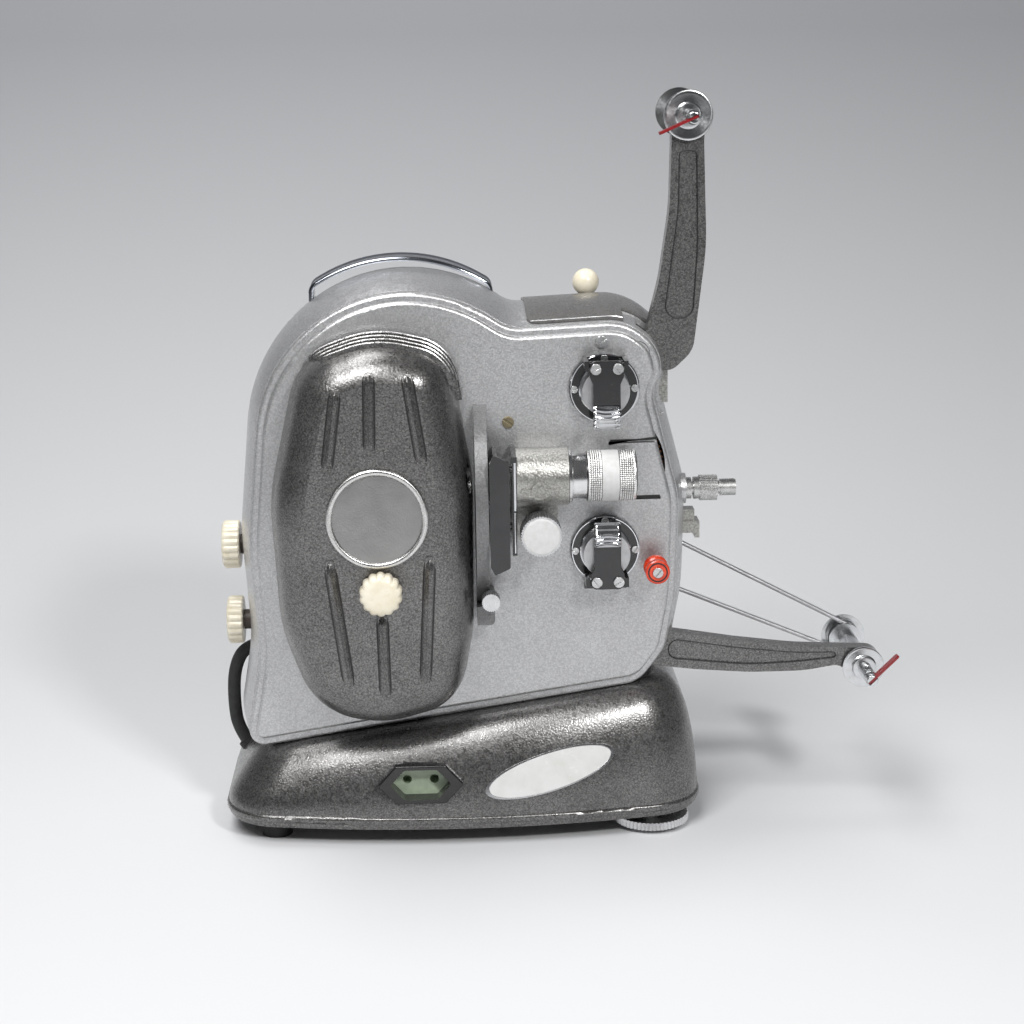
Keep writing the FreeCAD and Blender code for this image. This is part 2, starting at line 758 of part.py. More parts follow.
def make_front_plate():
    plate = slab(inset(case_outline, plate_inset, 5.5), plate_face_y, case_front_y)
    plate = round_edges(plate, plate_round, flat_at("Y", plate_face_y))
    bosses = []
    for z in (upper_sprocket_z, lower_sprocket_z):
        bosses.append(rod_y(sprocket_x, z, boss_r, case_front_y - 1, gear_y0 - gap))
    bosses.append(rod_y(take_up_x, take_up_z, boss_r, case_front_y - 1, gear_y0 - gap))
    bosses.append(rod_y(sprocket_x, idler_z, boss_r, case_front_y - 1, gear_y0 - gap))
    bosses.append(rod_y(sprocket_x, idler_z, shaft_r, case_front_y - 1, gear_y1 + 1))
    bosses.append(rod_y(upper_pivot[0], upper_pivot[1], boss_r, case_front_y - 1, arm_y0 - gap))
    bosses.append(box(-12, -6, case_front_y - 1, shaft_y + 6, shaft_z - 8, shaft_z + 8))
    plate = fuse([plate] + bosses)
    holes = [
        rod_y(sprocket_x, upper_sprocket_z, train_shaft_r + running, plate_face_y - 1, gear_y0 + 1),
        rod_y(sprocket_x, lower_sprocket_z, train_shaft_r + running, plate_face_y - 1, gear_y0 + 1),
        rod_y(take_up_x, take_up_z, train_shaft_r + running, case_front_y, gear_y0 + 1),
        rod_x(shaft_y, shaft_z, shaft_r + running, -13, -5),
        box(shutter_x - 1.6, shutter_x + shutter_thick + 1.6, plate_face_y - 1, case_front_y + 1,
            shaft_z - 56, shaft_z + 56),
        box(claw_x0 - 0.2, claw_x1 + 0.3, plate_face_y - 1, case_front_y + 1, claw_z0 - 2.5, claw_z1 + 2.5),
        box(tongue_x0 - gap, tongue_x1 + gate_stroke + gap, plate_face_y - 1, case_front_y + 1,
            lens_z - tongue_half - gap, lens_z + tongue_half + gap),
        rod_y(gate_knob_x, gate_knob_z, knob_shaft_r + running, plate_face_y - 1, case_front_y + 1),
        rod_y(roller_x, roller_z, roller_pin_r, plate_face_y - 1, case_front_y + 1),
        box(88, 116, plate_face_y - 1, plate_face_y + 2.5, 233.2, 235.0),
        box(102, 117.5, plate_face_y - 1, plate_face_y + 2.5, 199.8, 201.6),
    ]
    for x, z in plate_screws:
        holes.append(rod_y(x, z, clearance_r, plate_face_y - 1, case_front_y + 1))
    holes.append(rod_y(guide_screw[0], guide_screw[1], thread_r, plate_face_y - 1, case_front_y + 1))
    for z in (upper_sprocket_z, lower_sprocket_z):
        for dx, dz in flange_screw_places:
            holes.append(rod_y(sprocket_x + dx, z + dz, flange_hole_r, plate_face_y - 1, case_front_y + 0.5))
    return cut(plate, holes)


def make_back_cover():
    cover = slab(inset(case_outline, back_inset, 12.0), case_back_y, cover_back_y)
    cover = round_edges(cover, 1.5, flat_at("Y", cover_back_y))
    vents = []
    for i in range(vent_count):
        x = vent_x0 + vent_pitch * i
        vents.append(box(x, x + vent_width, case_back_y - 1, cover_back_y + 1, vent_z0, vent_z1))
    for x, z in back_screws:
        vents.append(rod_y(x, z, clearance_r, case_back_y - 1, cover_back_y + 1))
    return cut(cover, vents)


def make_case_screws():
    screws = []
    for x, z in back_screws:
        screw = screw_y(x, z, cover_head_r, -cover_back_y - cover_head, cover_head, screw_r,
                        -(case_back_y - wall + 0.4))
        screw.rotate(vec(x, 0, z), vec(0, 0, 1), 180)
        screws.append(screw)
    for x, y in base_feet:
        head = rod_z(x, y, 3.0, 1.2, 3.4)
        screws.append(fuse([head, rod_z(x, y, screw_r, 3.3, rim_z + 9)]))
    for x, y in floor_screws:
        z = base_top_z + base_slope * x
        head = rod_z(x, y, 3.6, z - wall - 3.6, z - wall - 1.2)
        screws.append(fuse([head, rod_z(x, y, floor_screw_r, z - wall - 1.3, z + wall + 1.5)]))
    return group(screws)


def make_face_screws():
    screws = []
    for x, z in plate_screws:
        screws.append(screw_y(x, z, plate_head_r, plate_face_y - plate_head, plate_head, screw_r, lug_back_y - 2))
    x, z = guide_screw
    screws.append(screw_y(x, z, plate_head_r, plate_face_y - plate_head, plate_head, screw_r, case_front_y))
    flange_head_y = plate_face_y - flange_thick - flange_head
    for z in (upper_sprocket_z, lower_sprocket_z):
        for dx, dz in flange_screw_places:
            screws.append(screw_y(sprocket_x + dx, z + dz, flange_head_r, flange_head_y, flange_head,
                                  flange_hole_r - running, case_front_y))
    roller_head_y = roller_y0 - roller_head - 0.2
    screws.append(screw_y(roller_x, roller_z, roller_head_r, roller_head_y, roller_head, roller_pin_r - 0.01,
                          case_front_y))
    return group(screws)


def make_handle():
    strap = slab(handle_outline, handle_y0, handle_y1)
    inner = inset(handle_outline, handle_thick)
    inner[0] = (inner[0][0], inner[0][1] - 20, 0)
    inner[-1] = (inner[-1][0], inner[-1][1] - 20, 0)
    strap = strap.cut(slab(inner, handle_y0 - 1, handle_y1 + 1))
    feet = []
    foot_z = handle_outline[0][1]
    for x in (handle_outline[0][0], handle_outline[-1][0] - handle_thick):
        feet.append(box(x, x + handle_thick, handle_y0 - handle_foot, handle_y1 + handle_foot,
                        foot_z - handle_foot, foot_z))
    return fuse([strap] + feet)


def base_section(z_mid, slope, x0, x1, half_depth, radius):
    """The foot's plan on a plane that rises along X by slope."""
    return closed_wire(base_plan(x0, x1, half_depth, radius), lambda x, y: vec(x, y, z_mid + slope * x))


def base_body(shrink, drop, floor_z):
    """The wedge of the foot casting, moved inwards by shrink and its top lowered by drop."""
    length = base_half_length - shrink
    depth = base_half_depth - shrink
    radius = base_corner_r - shrink
    sections = [
        base_section(floor_z, 0, -length, length, depth, radius),
        base_section(rim_z + 12, 0.02, -length + 0.4, length - 0.2, depth - 0.6, radius),
        base_section(rim_z + 32 - drop / 2, 0.09, -length + 6, length - 3.5, depth - 5, radius - 1),
        base_section(base_top_z - 9 - drop, 0.135, -length + 15, length - 11, depth - 13, radius - 4),
        base_section(base_top_z - drop, base_slope, -length + 28, length - 24, depth - 25, radius - 9),
    ]
    return Part.makeLoft(sections, True, False)


def outlet_outline(half_l, half_h):
    flat = half_l - half_h * 0.9
    return [(outlet_x - half_l, outlet_z, 1.5), (outlet_x - flat, outlet_z + half_h, 2.5),
            (outlet_x + flat, outlet_z + half_h, 2.5), (outlet_x + half_l, outlet_z, 1.5),
            (outlet_x + flat, outlet_z - half_h, 2.5), (outlet_x - flat, outlet_z - half_h, 2.5)]


def make_base():
    bead = base_slab(base_bead, rim_z + 1.5, rim_z + 6)
    bead = round_edges(bead, 1.7, lambda b: b.ZMax - b.ZMin < 0.01)
    shell = fuse([base_body(0, 0, rim_z), bead]).cut(base_body(wall, wall, rim_z - 1))
    posts = [rod_z(x, y, 6, rim_z, base_top_z + 20).common(base_body(wall / 2, wall / 2, rim_z)) for x, y in base_feet]
    shell = fuse([shell] + posts)
    pads = []
    for x, y in floor_screws:
        z = base_top_z + base_slope * x
        pads.append(rod_z(x, y, 6, z - wall - 1.2, z - 1))
    shell = fuse([shell] + [p.common(base_body(wall / 2, wall / 2, rim_z)) for p in pads])
    holes = [rod_z(x, y, thread_r, rim_z - 1, rim_z + 10) for x, y in base_feet]
    for x, y in floor_screws:
        holes.append(rod_z(x, y, floor_screw_r + running, 40, 100))
    holes.append(slab(outlet_outline(sleeve_half_l + running, sleeve_half_h + running), -90, -58))
    holes.append(slab(outlet_outline(outlet_half_l + 0.2, outlet_half_h + 0.2), -90, bezel_seat_y))
    holes.append(cable_hole(cable_route[-1], cable_route[-2]))
    return cut(shell, holes)


def make_base_plate():
    plate = base_slab(-base_plate_inset, rim_z - plate_thick, rim_z)
    plate = fuse([plate, rod_z(wheel_x, wheel_y, 9, rim_z - 0.5, rim_z + 9)])
    holes = [rod_z(x, y, clearance_r, rim_z - 5, rim_z + 1) for x, y in base_feet]
    holes.append(rod_z(wheel_x, wheel_y, stem_r + running, rim_z - 5, rim_z + 12))
    return cut(plate, holes)


def make_feet():
    feet = []
    for x, y in base_feet:
        foot = rod_z(x, y, foot_r, 0, rim_z - plate_thick)
        foot = foot.cut(rod_z(x, y, 3.2, -1, 3.6))
        feet.append(foot.cut(rod_z(x, y, clearance_r, 0, rim_z)))
    return group(feet)


def make_foot_wheel():
    """Levelling wheel with a serrated rim on a threaded stem. It turns on the peg of the rubber pad."""
    pts = []
    teeth = 56
    for i in range(teeth):
        for share, r in ((-0.5, wheel_r - 1.1), (0.0, wheel_r)):
            a = 2 * math.pi * (i + share) / teeth
            pts.append(vec(wheel_x + r * math.cos(a), wheel_y + r * math.sin(a), wheel_z0))
    pts.append(pts[0])
    disc = Part.Face(Part.makePolygon(pts)).extrude(vec(0, 0, wheel_z1 - wheel_z0))
    wheel = fuse([disc, rod_z(wheel_x, wheel_y, stem_r, wheel_z1, rim_z + 23)])
    return wheel.cut(rod_z(wheel_x, wheel_y, peg_r + running, wheel_z0 - 1, wheel_z1 - 1))


def make_foot_pad():
    pad = rod_z(wheel_x, wheel_y, 13, 0, wheel_z0 - 0.1)
    return fuse([pad, rod_z(wheel_x, wheel_y, peg_r, wheel_z0 - 0.5, wheel_z1 - 1.2)])


def make_bezel():
    flange = slab(outlet_outline(outlet_half_l, outlet_half_h), bezel_face_y, bezel_seat_y)
    flange = round_edges(flange, 1.2, flat_at("Y", bezel_face_y))
    sleeve = slab(outlet_outline(sleeve_half_l, sleeve_half_h), bezel_seat_y - 1, insert_back_y)
    return fuse([flange, sleeve]).cut(slab(outlet_outline(recess_half_l, recess_half_h), -90, -50))


def make_insert():
    insert = slab(outlet_outline(recess_half_l, recess_half_h), insert_face_y, insert_back_y)
    holes = [rod_y(outlet_x + s * pin_pitch / 2, outlet_z, pin_r, -90, insert_back_y - 1) for s in (-1, 1)]
    return cut(insert, holes)


def make_label():
    """An oval name plate bent to the front of the foot, left bare."""
    oval = Part.Ellipse(vec(0, 0, 0), label_half_l, label_half_h).toShape()
    disc = Part.Face(Part.Wire([oval])).extrude(vec(0, 0, 40))
    disc.rotate(vec(0, 0, 0), vec(1, 0, 0), 90)
    disc.translate(vec(label_x, -60, label_z))
    disc.rotate(vec(label_x, 0, label_z), vec(0, 1, 0), -label_tilt)
    skin = base_body(-label_thick, -label_thick, rim_z).cut(base_body(-running, -running, rim_z))
    return skin.common(disc)


def make_transformer():
    x0, x1 = core_x0 + core_limb, core_x0 + core_length - core_limb
    z0, z1 = rim_z + core_yoke, rim_z + core_height - core_yoke
    slack = 0.5
    core = box(core_x0, core_x0 + core_length, 0, core_depth, rim_z, rim_z + core_height)
    window = box(x0, x1, -1, core_depth + 1, z0, z1)
    coil = box(x0 + slack, x1 - slack, -coil_overhang, core_depth + coil_overhang, z0 + slack, z1 - slack)
    return group([core.cut(window), coil])


def case_skin(lift):
    """The case's outer surface without its bead, moved outwards by lift."""
    return loft_y(case_outline, [(y, d - lift) for y, d in case_stations])


def make_lid():
    """Top lid: a crowned skin over the case with a rim that drops into the opening."""
    skin = case_skin(lid_gap + lid_thick).cut(case_skin(lid_gap))
    sides = [(lid_x0, lid_front_y, lid_corner_r), (lid_x1, lid_front_y, 0), (lid_x1, lid_back_y, lid_corner_r),
             (lid_x0, lid_back_y, lid_corner_r)]
    plan = Part.Face(closed_wire(sides, lambda x, y: vec(x, y, lid_z0)))
    lid = skin.common(plan.extrude(vec(0, 0, 40)))
    lid = lid.cut(box(lid_cut_x, lid_x1 + 1, lid_front_y - 1, arm_y1 + 1.2, lid_z0 - 1, 330))
    rim = lid_well(gap).cut(lid_well(gap + 1.4))
    rim = rim.common(case_skin(lid_gap + 0.5)).common(box(lid_x0, lid_x1, -50, 60, 297.5, 330))
    return fuse([lid, rim])


def make_lid_knob():
    ball = Part.makeSphere(ball_r, vec(ball_x, ball_y, ball_z))
    return ball.cut(case_skin(lid_gap + lid_thick))


def dome(shrink, back):
    """The blown shape of the lamp cover, moved inwards by shrink and ending at the plane back."""
    stations = [(back, shrink)]
    for y, d in dome_stations[1:]:
        stations.append((y + shrink * (0.3 + d / 30), d + shrink))
    return loft_y(lamp_outline, list(reversed(stations)))


def rib_bar(x0, z0, x1, z1):
    length = math.hypot(x1 - x0, z1 - z0)
    nx, nz = -(z1 - z0) / length * rib_half, (x1 - x0) / length * rib_half
    pts = [(x0 - nx, z0 - nz, 2.4), (x1 - nx, z1 - nz, 2.4), (x1 + nx, z1 + nz, 2.4), (x0 + nx, z0 + nz, 2.4)]
    return slab(pts, -110, -70)


def make_lamp_cover():
    outer = dome(0, lamp_cover_y)
    raised = dome(-rib_height, lamp_cover_y)
    ribs = [rib_bar(*r).common(raised) for r in lamp_ribs]
    steps = []
    for i in range(louvre_count):
        y1 = louvre_y - louvre_pitch * i
        ring = slab(inset(lamp_outline, -2.2 + 0.9 * i), y1 - louvre_width, y1)
        steps.append(ring.common(box(-82 + 3 * i, 4 - 2 * i, -100, -40, 262 + 4 * i, 320)))
    body = fuse([outer] + ribs + steps)
    body = body.cut(dome(2.0, lamp_cover_y + 1))
    holes = [
        rod_x(lens_y, lens_z, 9, -5, 20),
        rod_y(lamp_knob_x, lamp_knob_z, cover_screw_r + running, -110, -80),
    ]
    return cut(body, holes)


def make_badge():
    disc = rod_y(badge_x, badge_z, badge_r - 1.5, badge_field_y, badge_back_y)
    ring = ring_y(badge_x, badge_z, badge_r, badge_r - badge_ring, badge_face_y, badge_back_y + 0.1)
    return fuse([disc, ring]).cut(dome(0, lamp_cover_y))


def make_lamp_knob():
    head = fluted(lamp_knob_x, lamp_knob_z, lamp_knob_r, 1.0, lamp_knob_flutes, lamp_knob_y0, lamp_knob_y1)
    collar = rod_y(lamp_knob_x, lamp_knob_z, 7.5, lamp_knob_y1, lamp_knob_y1 + 2.8)
    screw = rod_y(lamp_knob_x, lamp_knob_z, cover_screw_r, lamp_knob_y1 + 1, -72)
    return fuse([head, collar, screw])


def make_lamp():
    glass = rod_z(lamp_x, lens_y, lamp_r, 192, 242)
    tip = Part.makeSphere(lamp_r, vec(lamp_x, lens_y, 242))
    cap = rod_z(lamp_x, lens_y, lamp_cap_r - running, 173, 192)
    return group([fuse([glass, tip]), cap])


def make_lamp_bracket():
    foot = box(lamp_x - 32, condenser_x1 - 6, plate_face_y - 3, plate_face_y, 155, 225)
    tube = ring_x(lens_y, lens_z, condenser_r + 2, condenser_r, condenser_x0, condenser_x1)
    stand = box(condenser_x0 + 6, condenser_x1 - 7, lens_y + condenser_r + 1, plate_face_y, lens_z - 6, lens_z + 6)
    shelf = box(lamp_x - 12, lamp_x + 12, lens_y - 12, plate_face_y, 168, 171)
    cup = rod_z(lamp_x, lens_y, lamp_cap_r + 2, 170, 184).cut(rod_z(lamp_x, lens_y, lamp_cap_r, 173, 186))
    post = rod_y(lamp_knob_x, lamp_knob_z, 4.5, -84, plate_face_y)
    post = post.cut(rod_y(lamp_knob_x, lamp_knob_z, cover_screw_r + running, -85, -68))
    ball = Part.makeSphere(30, vec(lamp_x - 4, lens_y, lens_z)).cut(Part.makeSphere(28.8, vec(lamp_x - 4, lens_y, lens_z)))
    mirror = ball.common(box(-90, lamp_x - 4 - 24, lens_y - 16, lens_y + 16, lens_z - 16, lens_z + 16))
    arm = box(-80, -76.0, lens_y + 8, plate_face_y, lens_z - 5, lens_z + 5)
    return fuse([foot, shelf, cup, post, mirror, arm, tube, stand])


def lens_disc(x_mid, r, thick, bulge):
    """A lens element on the optical axis, bulging by the given height on both sides."""
    ball_radius = (r * r + bulge * bulge) / (2 * bulge)
    offset = ball_radius - bulge - thick / 2
    left = Part.makeSphere(ball_radius, vec(x_mid + offset, lens_y, lens_z))
    right = Part.makeSphere(ball_radius, vec(x_mid - offset, lens_y, lens_z))
    return left.common(right).common(rod_x(lens_y, lens_z, r, x_mid - 20, x_mid + 20))


def make_condenser():
    return group([lens_disc(condenser_x0 + 7, condenser_r, 2, 2.4), lens_disc(condenser_x1 - 6, condenser_r, 2, 2.4)])


def make_shutter_cover():
    cover = rod_x(shaft_y, shaft_z, shutter_cover_r, shutter_cover_x0, shutter_cover_x1)
    cover = cover.common(box(0, 30, -120, plate_face_y, 100, 300))
    cover = cover.cut(rod_x(shaft_y, shaft_z, shutter_cover_r - 2, shutter_x - 1.4, shutter_x + shutter_thick + 1.4))
    tab = box(shutter_cover_x0, 20, -66, plate_face_y, 131, 142)
    tab = round_edges(tab, 3, lambda b: b.YMax - b.YMin > 10 and b.XMin > 19.9)
    boss = rod_y(catch_x, catch_z, 3.0, -68.6, plate_face_y)
    cover = fuse([cover, tab, boss])
    holes = [rod_x(lens_y, lens_z, 7, 0, 30), rod_y(catch_x, catch_z, catch_r + running, -75, -60)]
    return cut(cover, holes)


def make_catch_knob():
    head = fluted(catch_x, catch_z, catch_knob_r, 0.35, catch_knob_flutes, catch_knob_y0, catch_knob_y1)
    return fuse([head, rod_y(catch_x, catch_z, catch_r, catch_knob_y1 - 1, -61)])


def make_aperture_plate():
    plate = box(gate_x0, gate_x1, gate_front_y, plate_face_y, gate_low_z, gate_high_z)
    cheek_outline = [(gate_x0, 166, 1), (28.8, 170, 2), (28.8, 231, 2), (gate_x0, 235.5, 1), (17.6, 230, 1),
                     (17.6, 171, 1)]
    cheek = slab(cheek_outline, gate_front_y - 2.5, gate_front_y)
    plate = fuse([plate, cheek])
    holes = [
        box(gate_x0 - 1, gate_x1 + 1, lens_y - aperture_half_y, lens_y + aperture_half_y,
            lens_z - aperture_half_z, lens_z + aperture_half_z),
        box(gate_x0 - 1, gate_x1 + 1, claw_slot_y0, claw_slot_y1, claw_z0 - 2.5, claw_z1 + 2.5),
    ]
    return cut(plate, holes)


def make_claw():
    """Pull-down claw: a frame round the cam on the drive shaft, with an arm to the film channel."""
    window_half = cam_r + 2 * claw_throw + 0.5
    outer = box(claw_x0, claw_x1, shaft_y - window_half - 4, shaft_y + window_half + 4,
                shaft_z - window_half - 4, shaft_z + window_half + 4)
    window = box(claw_x0 - 1, claw_x1 + 1, shaft_y - window_half, shaft_y + window_half,
                 shaft_z - window_half, shaft_z + window_half)
    arm = box(claw_x0, claw_x1, claw_slot_y0 + 0.2, shaft_y - window_half - 2, claw_z0, claw_z1)
    tooth = box(claw_x0, gate_x1 + 0.6, claw_slot_y0 + 0.6, claw_slot_y1 - 0.6, claw_z0 + 1.4, claw_z1 - 1.4)
    return fuse([outer.cut(window), arm, tooth])


def make_pressure_plate():
    """Front half of the gate: a glossy frame on the lens carriage and the sprung pad that holds the film."""
    frame = fuse([box(30.4, holder_x0, -86, plate_face_y - gap, gate_knob_z + gate_knob_r + 0.8, 234),
                  box(30.4, holder_x0, -77.3, plate_face_y - gap, 175, gate_knob_z + gate_knob_r + 1)])
    pad = box(gate_x1 + 0.9, gate_x1 + 2.2, -78, -61, 184, 229)
    links = [rod_x(y, z, 1.3, gate_x1 + 2, 31) for y in (-75, -64) for z in (190, 224)]
    shape = fuse([frame, pad] + links)
    return shape.cut(rod_x(lens_y, lens_z, 6.5, gate_x0, holder_x0 + 1))


def make_lens_holder():
    tube = rod_x(lens_y, lens_z, holder_r, holder_x0, holder_x1)
    block = box(36, 58, lens_y, plate_face_y - gap, lens_z - 13, lens_z + 13)
    web = box(34, 57.5, -56.3, plate_face_y - gap, 177, 207)
    web = round_edges(web, 5, lambda b: b.YMax - b.YMin > 3 and b.ZMax < 178)
    ring = ring_y(45.8, 214.6, 4.8, 3.4, -88.4, -82)
    cap = rod_y(45.8, 214.6, 3.4, -87.8, -82)
    rib = box(35.5, 57, -87.4, -84, 213.6, 215.6)
    tongue = box(tongue_x0, tongue_x1, plate_face_y - 1, case_front_y + gap, lens_z - tongue_half, lens_z + tongue_half)
    keeper = box(tongue_x0, tongue_x1, case_front_y + gap, case_front_y + 2, lens_z - 7, lens_z + 7)
    body = fuse([tube, block, web, ring, cap, rib, tongue, keeper])
    slot = box(gate_knob_x - knob_shaft_r - gap - gate_stroke, gate_knob_x + knob_shaft_r + gap, -60,
               plate_face_y, gate_knob_z - knob_shaft_r - gap, gate_knob_z + knob_shaft_r + gap)
    return cut(body, [rod_x(lens_y, lens_z, lens_bore_r, holder_x0 - 1, holder_x1 + 1), slot])


def make_lens_tube():
    tube = fuse([rod_x(lens_y, lens_z, lens_tube_r, 36, focus_x0 - gap),
                 rod_x(lens_y, lens_z, inner_tube_r, 60, focus_x1 - 4)])
    return tube.cut(rod_x(lens_y, lens_z, 9.5, 30, focus_x1))


def make_focus_ring():
    ring = ring_x(lens_y, lens_z, focus_r, inner_tube_r + running, focus_x0, focus_x1)
    ring = ring.cut(rod_x(lens_y, lens_z, 12.4, focus_x1 - 3, focus_x1 + 1))
    return round_edges(ring, 0.6, lambda b: b.XMax - b.XMin < 0.01 and b.YMax - b.YMin > 2 * focus_r - 0.1)


def make_lens_glass():
    return group([lens_disc(42, 9.5, 2, 2.0), lens_disc(66, 9.5, 1.5, 1.5), lens_disc(92, 9.5, 2.2, 2.2)])


def make_gate_knob():
    head = fluted(gate_knob_x, gate_knob_z, gate_knob_r, 0.5, gate_knob_flutes, gate_knob_y0, gate_knob_y1)
    face = rod_y(gate_knob_x, gate_knob_z, gate_knob_r - 1.2, gate_knob_face_y, gate_knob_y0)
    collar = rod_y(gate_knob_x, gate_knob_z, 6.5, gate_knob_y1, -57)
    shaft = rod_y(gate_knob_x, gate_knob_z, knob_shaft_r, -58, case_front_y + 1)
    head_in = rod_y(gate_knob_x, gate_knob_z, 5, case_front_y + gap, case_front_y + 2)
    return fuse([head, face, collar, shaft, head_in])


def upright(shape, z, flip):
    """Places a shape built round the upper sprocket's axis at height z, turned over where flip is true."""
    moved = shape.copy()
    if flip:
        moved.rotate(vec(sprocket_x, 0, 0), vec(0, 1, 0), 180)
    moved.translate(vec(0, 0, z))
    return moved


def sprocket_flange(flip):
    disc = rod_y(sprocket_x, 0, flange_r, plate_face_y - flange_thick, plate_face_y)
    disc = round_edges(disc, 0.8, flat_at("Y", plate_face_y - flange_thick))
    side = -1 if flip else 1
    ears = []
    for s in (-1, 1):
        x0, x1 = sorted((sprocket_x + s * ear_inner, sprocket_x + s * ear_outer))
        z0, z1 = sorted((side * ear_start, side * ear_end))
        ears.append(box(x0, x1, ear_front_y, plate_face_y - 1, z0, z1))
    ears.append(rod_x(shoe_pivot_y, side * shoe_pivot, hinge_pin_r, sprocket_x - ear_outer, sprocket_x + ear_outer))
    z0, z1 = sorted((side * lug_start, side * (lower_lug_end if flip else ear_end)))
    lug = box(sprocket_x - ear_outer, sprocket_x + ear_outer, plate_face_y - flange_thick, plate_face_y, z0, z1)
    flange = fuse([disc, lug] + ears)
    holes = [rod_y(sprocket_x, 0, train_shaft_r + 1, -60, -40)]
    for dx, dz in flange_screw_places:
        holes.append(rod_y(sprocket_x + dx, dz, flange_hole_r, -60, -40))
    return cut(flange, holes)


def make_flanges():
    upper = sprocket_flange(False)
    upper.translate(vec(0, 0, upper_sprocket_z))
    lower = sprocket_flange(True)
    lower.translate(vec(0, 0, lower_sprocket_z))
    return group([upper, lower])


def make_shoe(z, flip):
    """A film shoe: hinged barrel, black plate with two big screws, and the ribbed thumb pad."""
    x0, x1 = sprocket_x - shoe_half, sprocket_x + shoe_half
    pad_x0, pad_x1 = sprocket_x - shoe_pad_half, sprocket_x + shoe_pad_half
    barrel = rod_x(shoe_pivot_y, shoe_pivot, barrel_r, x0, x1)
    neck = box(x0, x1, shoe_pad_y1, shoe_pivot_y, shoe_pivot - 1.4, shoe_pivot + 1.4)
    plate_end = shoe_pad_start - 1
    plate_outline = [(x0, shoe_plate_end, 3), (x1, shoe_plate_end, 3), (x1, plate_end, 1), (x0, plate_end, 1)]
    plate = slab(plate_outline, shoe_face_y, shoe_face_y + shoe_plate_thick)
    pad = box(pad_x0, pad_x1, shoe_pad_y0, shoe_pad_y1, shoe_pad_end, shoe_pad_start)
    first_ridge = shoe_pad_start - 2 * shoe_ridge_r
    ridges = []
    for i in range(3):
        ridges.append(rod_x(shoe_pad_y0, first_ridge - shoe_ridge_pitch * i, shoe_ridge_r, pad_x0, pad_x1))
    screws = []
    slots = []
    for s in (-1, 1):
        x = sprocket_x + s * shoe_screw_x
        screws.append(rod_y(x, shoe_screw_z, shoe_screw_r, shoe_face_y - 1.8, shoe_face_y + 0.5))
        slot = box(x - 4, x + 4, -75, shoe_face_y - 1.1, shoe_screw_z - 0.5, shoe_screw_z + 0.5)
        slot.rotate(vec(x, 0, shoe_screw_z), vec(0, 1, 0), 30 * s)
        slots.append(slot)
    body = cut(fuse([barrel, neck, plate, pad] + ridges + screws), slots)
    body = body.cut(rod_x(shoe_pivot_y, shoe_pivot, hinge_pin_r + running, x0 - 2, x1 + 2))
    return upright(body, z, flip)


def sprocket(z, phase, gear_phase):
    """Film sprocket with its shaft and gear."""
    rear_y = sprocket_back_y - sprocket_rim
    front = rod_y(sprocket_x, z, sprocket_rim_r, sprocket_front_y, sprocket_front_y + sprocket_rim)
    hub = rod_y(sprocket_x, z, sprocket_hub_r, sprocket_front_y + 1, sprocket_back_y - 1)
    rear = rod_y(sprocket_x, z, sprocket_rim_r, rear_y, sprocket_back_y)
    teeth = toothed(sprocket_x, z, sprocket_hub_r - 0.2, sprocket_hub_r + 1.2, sprocket_teeth, rear_y - 1.2, rear_y,
                    phase, 0.4, 0.16)
    shaft = rod_y(sprocket_x, z, train_shaft_r, sprocket_back_y - 1, gear_y1)
    wheel = gear(sprocket_x, z, sprocket_gear_teeth, 1.0, gear_y0, gear_y1, gear_phase)
    return fuse([front, hub, rear, teeth, shaft, wheel])


def make_upper_sprocket():
    return sprocket(upper_sprocket_z, 0.0, -up_angle)


def make_lower_sprocket():
    worm_gear = gear(sprocket_x, lower_sprocket_z, worm_wheel_teeth, worm_module,
                     shaft_y - worm_wheel_width / 2, shaft_y + worm_wheel_width / 2,
                     up_angle + math.pi / worm_wheel_teeth)
    shaft = rod_y(sprocket_x, lower_sprocket_z, train_shaft_r, gear_y1 - 1, shaft_y + worm_wheel_width / 2)
    return fuse([sprocket(lower_sprocket_z, 0.0, up_angle), shaft, worm_gear])


def make_idler():
    wheel = gear(sprocket_x, idler_z, idler_teeth, 1.0, gear_y0, gear_y1, up_angle + idler_pitch / 2)
    holes = [rod_y(sprocket_x, idler_z, shaft_r + running, -50, -30)]
    for i in range(6):
        a = 2 * math.pi * (i + 0.5) / 6
        holes.append(rod_y(sprocket_x + 20 * math.cos(a), idler_z + 20 * math.sin(a), 6.5, -50, -30))
    return cut(wheel, holes)


def make_take_up_pulley():
    """Shaft, gear and belt pulley that drive the take-up spindle."""
    toward = math.atan2(lower_sprocket_z - take_up_z, sprocket_x - take_up_x)
    turn = toward + math.pi - up_angle
    steps = turn / (2 * math.pi / sprocket_gear_teeth)
    part_step = steps - math.floor(steps)
    phase = toward + (0.5 + part_step) * 2 * math.pi / pulley_gear_teeth
    shaft = rod_y(take_up_x, take_up_z, train_shaft_r, case_front_y + 0.5, belt_y + 5)
    wheel = gear(take_up_x, take_up_z, pulley_gear_teeth, 1.0, gear_y0, gear_y1, phase)
    rim = rod_y(take_up_x, take_up_z, drive_belt_r + 1.2, belt_y - 4, belt_y + 4)
    groove = ring_y(take_up_x, take_up_z, drive_belt_r + 3, drive_belt_r - belt_wire_r - gap,
                    belt_y - belt_wire_r - gap, belt_y + belt_wire_r + gap)
    return fuse([shaft, wheel, rim.cut(groove)])


def make_spring_belt():
    path = belt_path(take_up_x, take_up_z, drive_belt_r, lower_spool[0], lower_spool[1], spool_belt_r,
                     lambda x, z: vec(x, belt_y, z))
    start = path.Vertexes[0].Point
    angle = math.atan2(start.z - take_up_z, start.x - take_up_x)
    normal = vec(-math.sin(angle), 0, math.cos(angle))
    profile = Part.Wire([Part.Circle(start, normal, belt_wire_r).toShape()])
    return path.makePipeShell([profile], True, False)


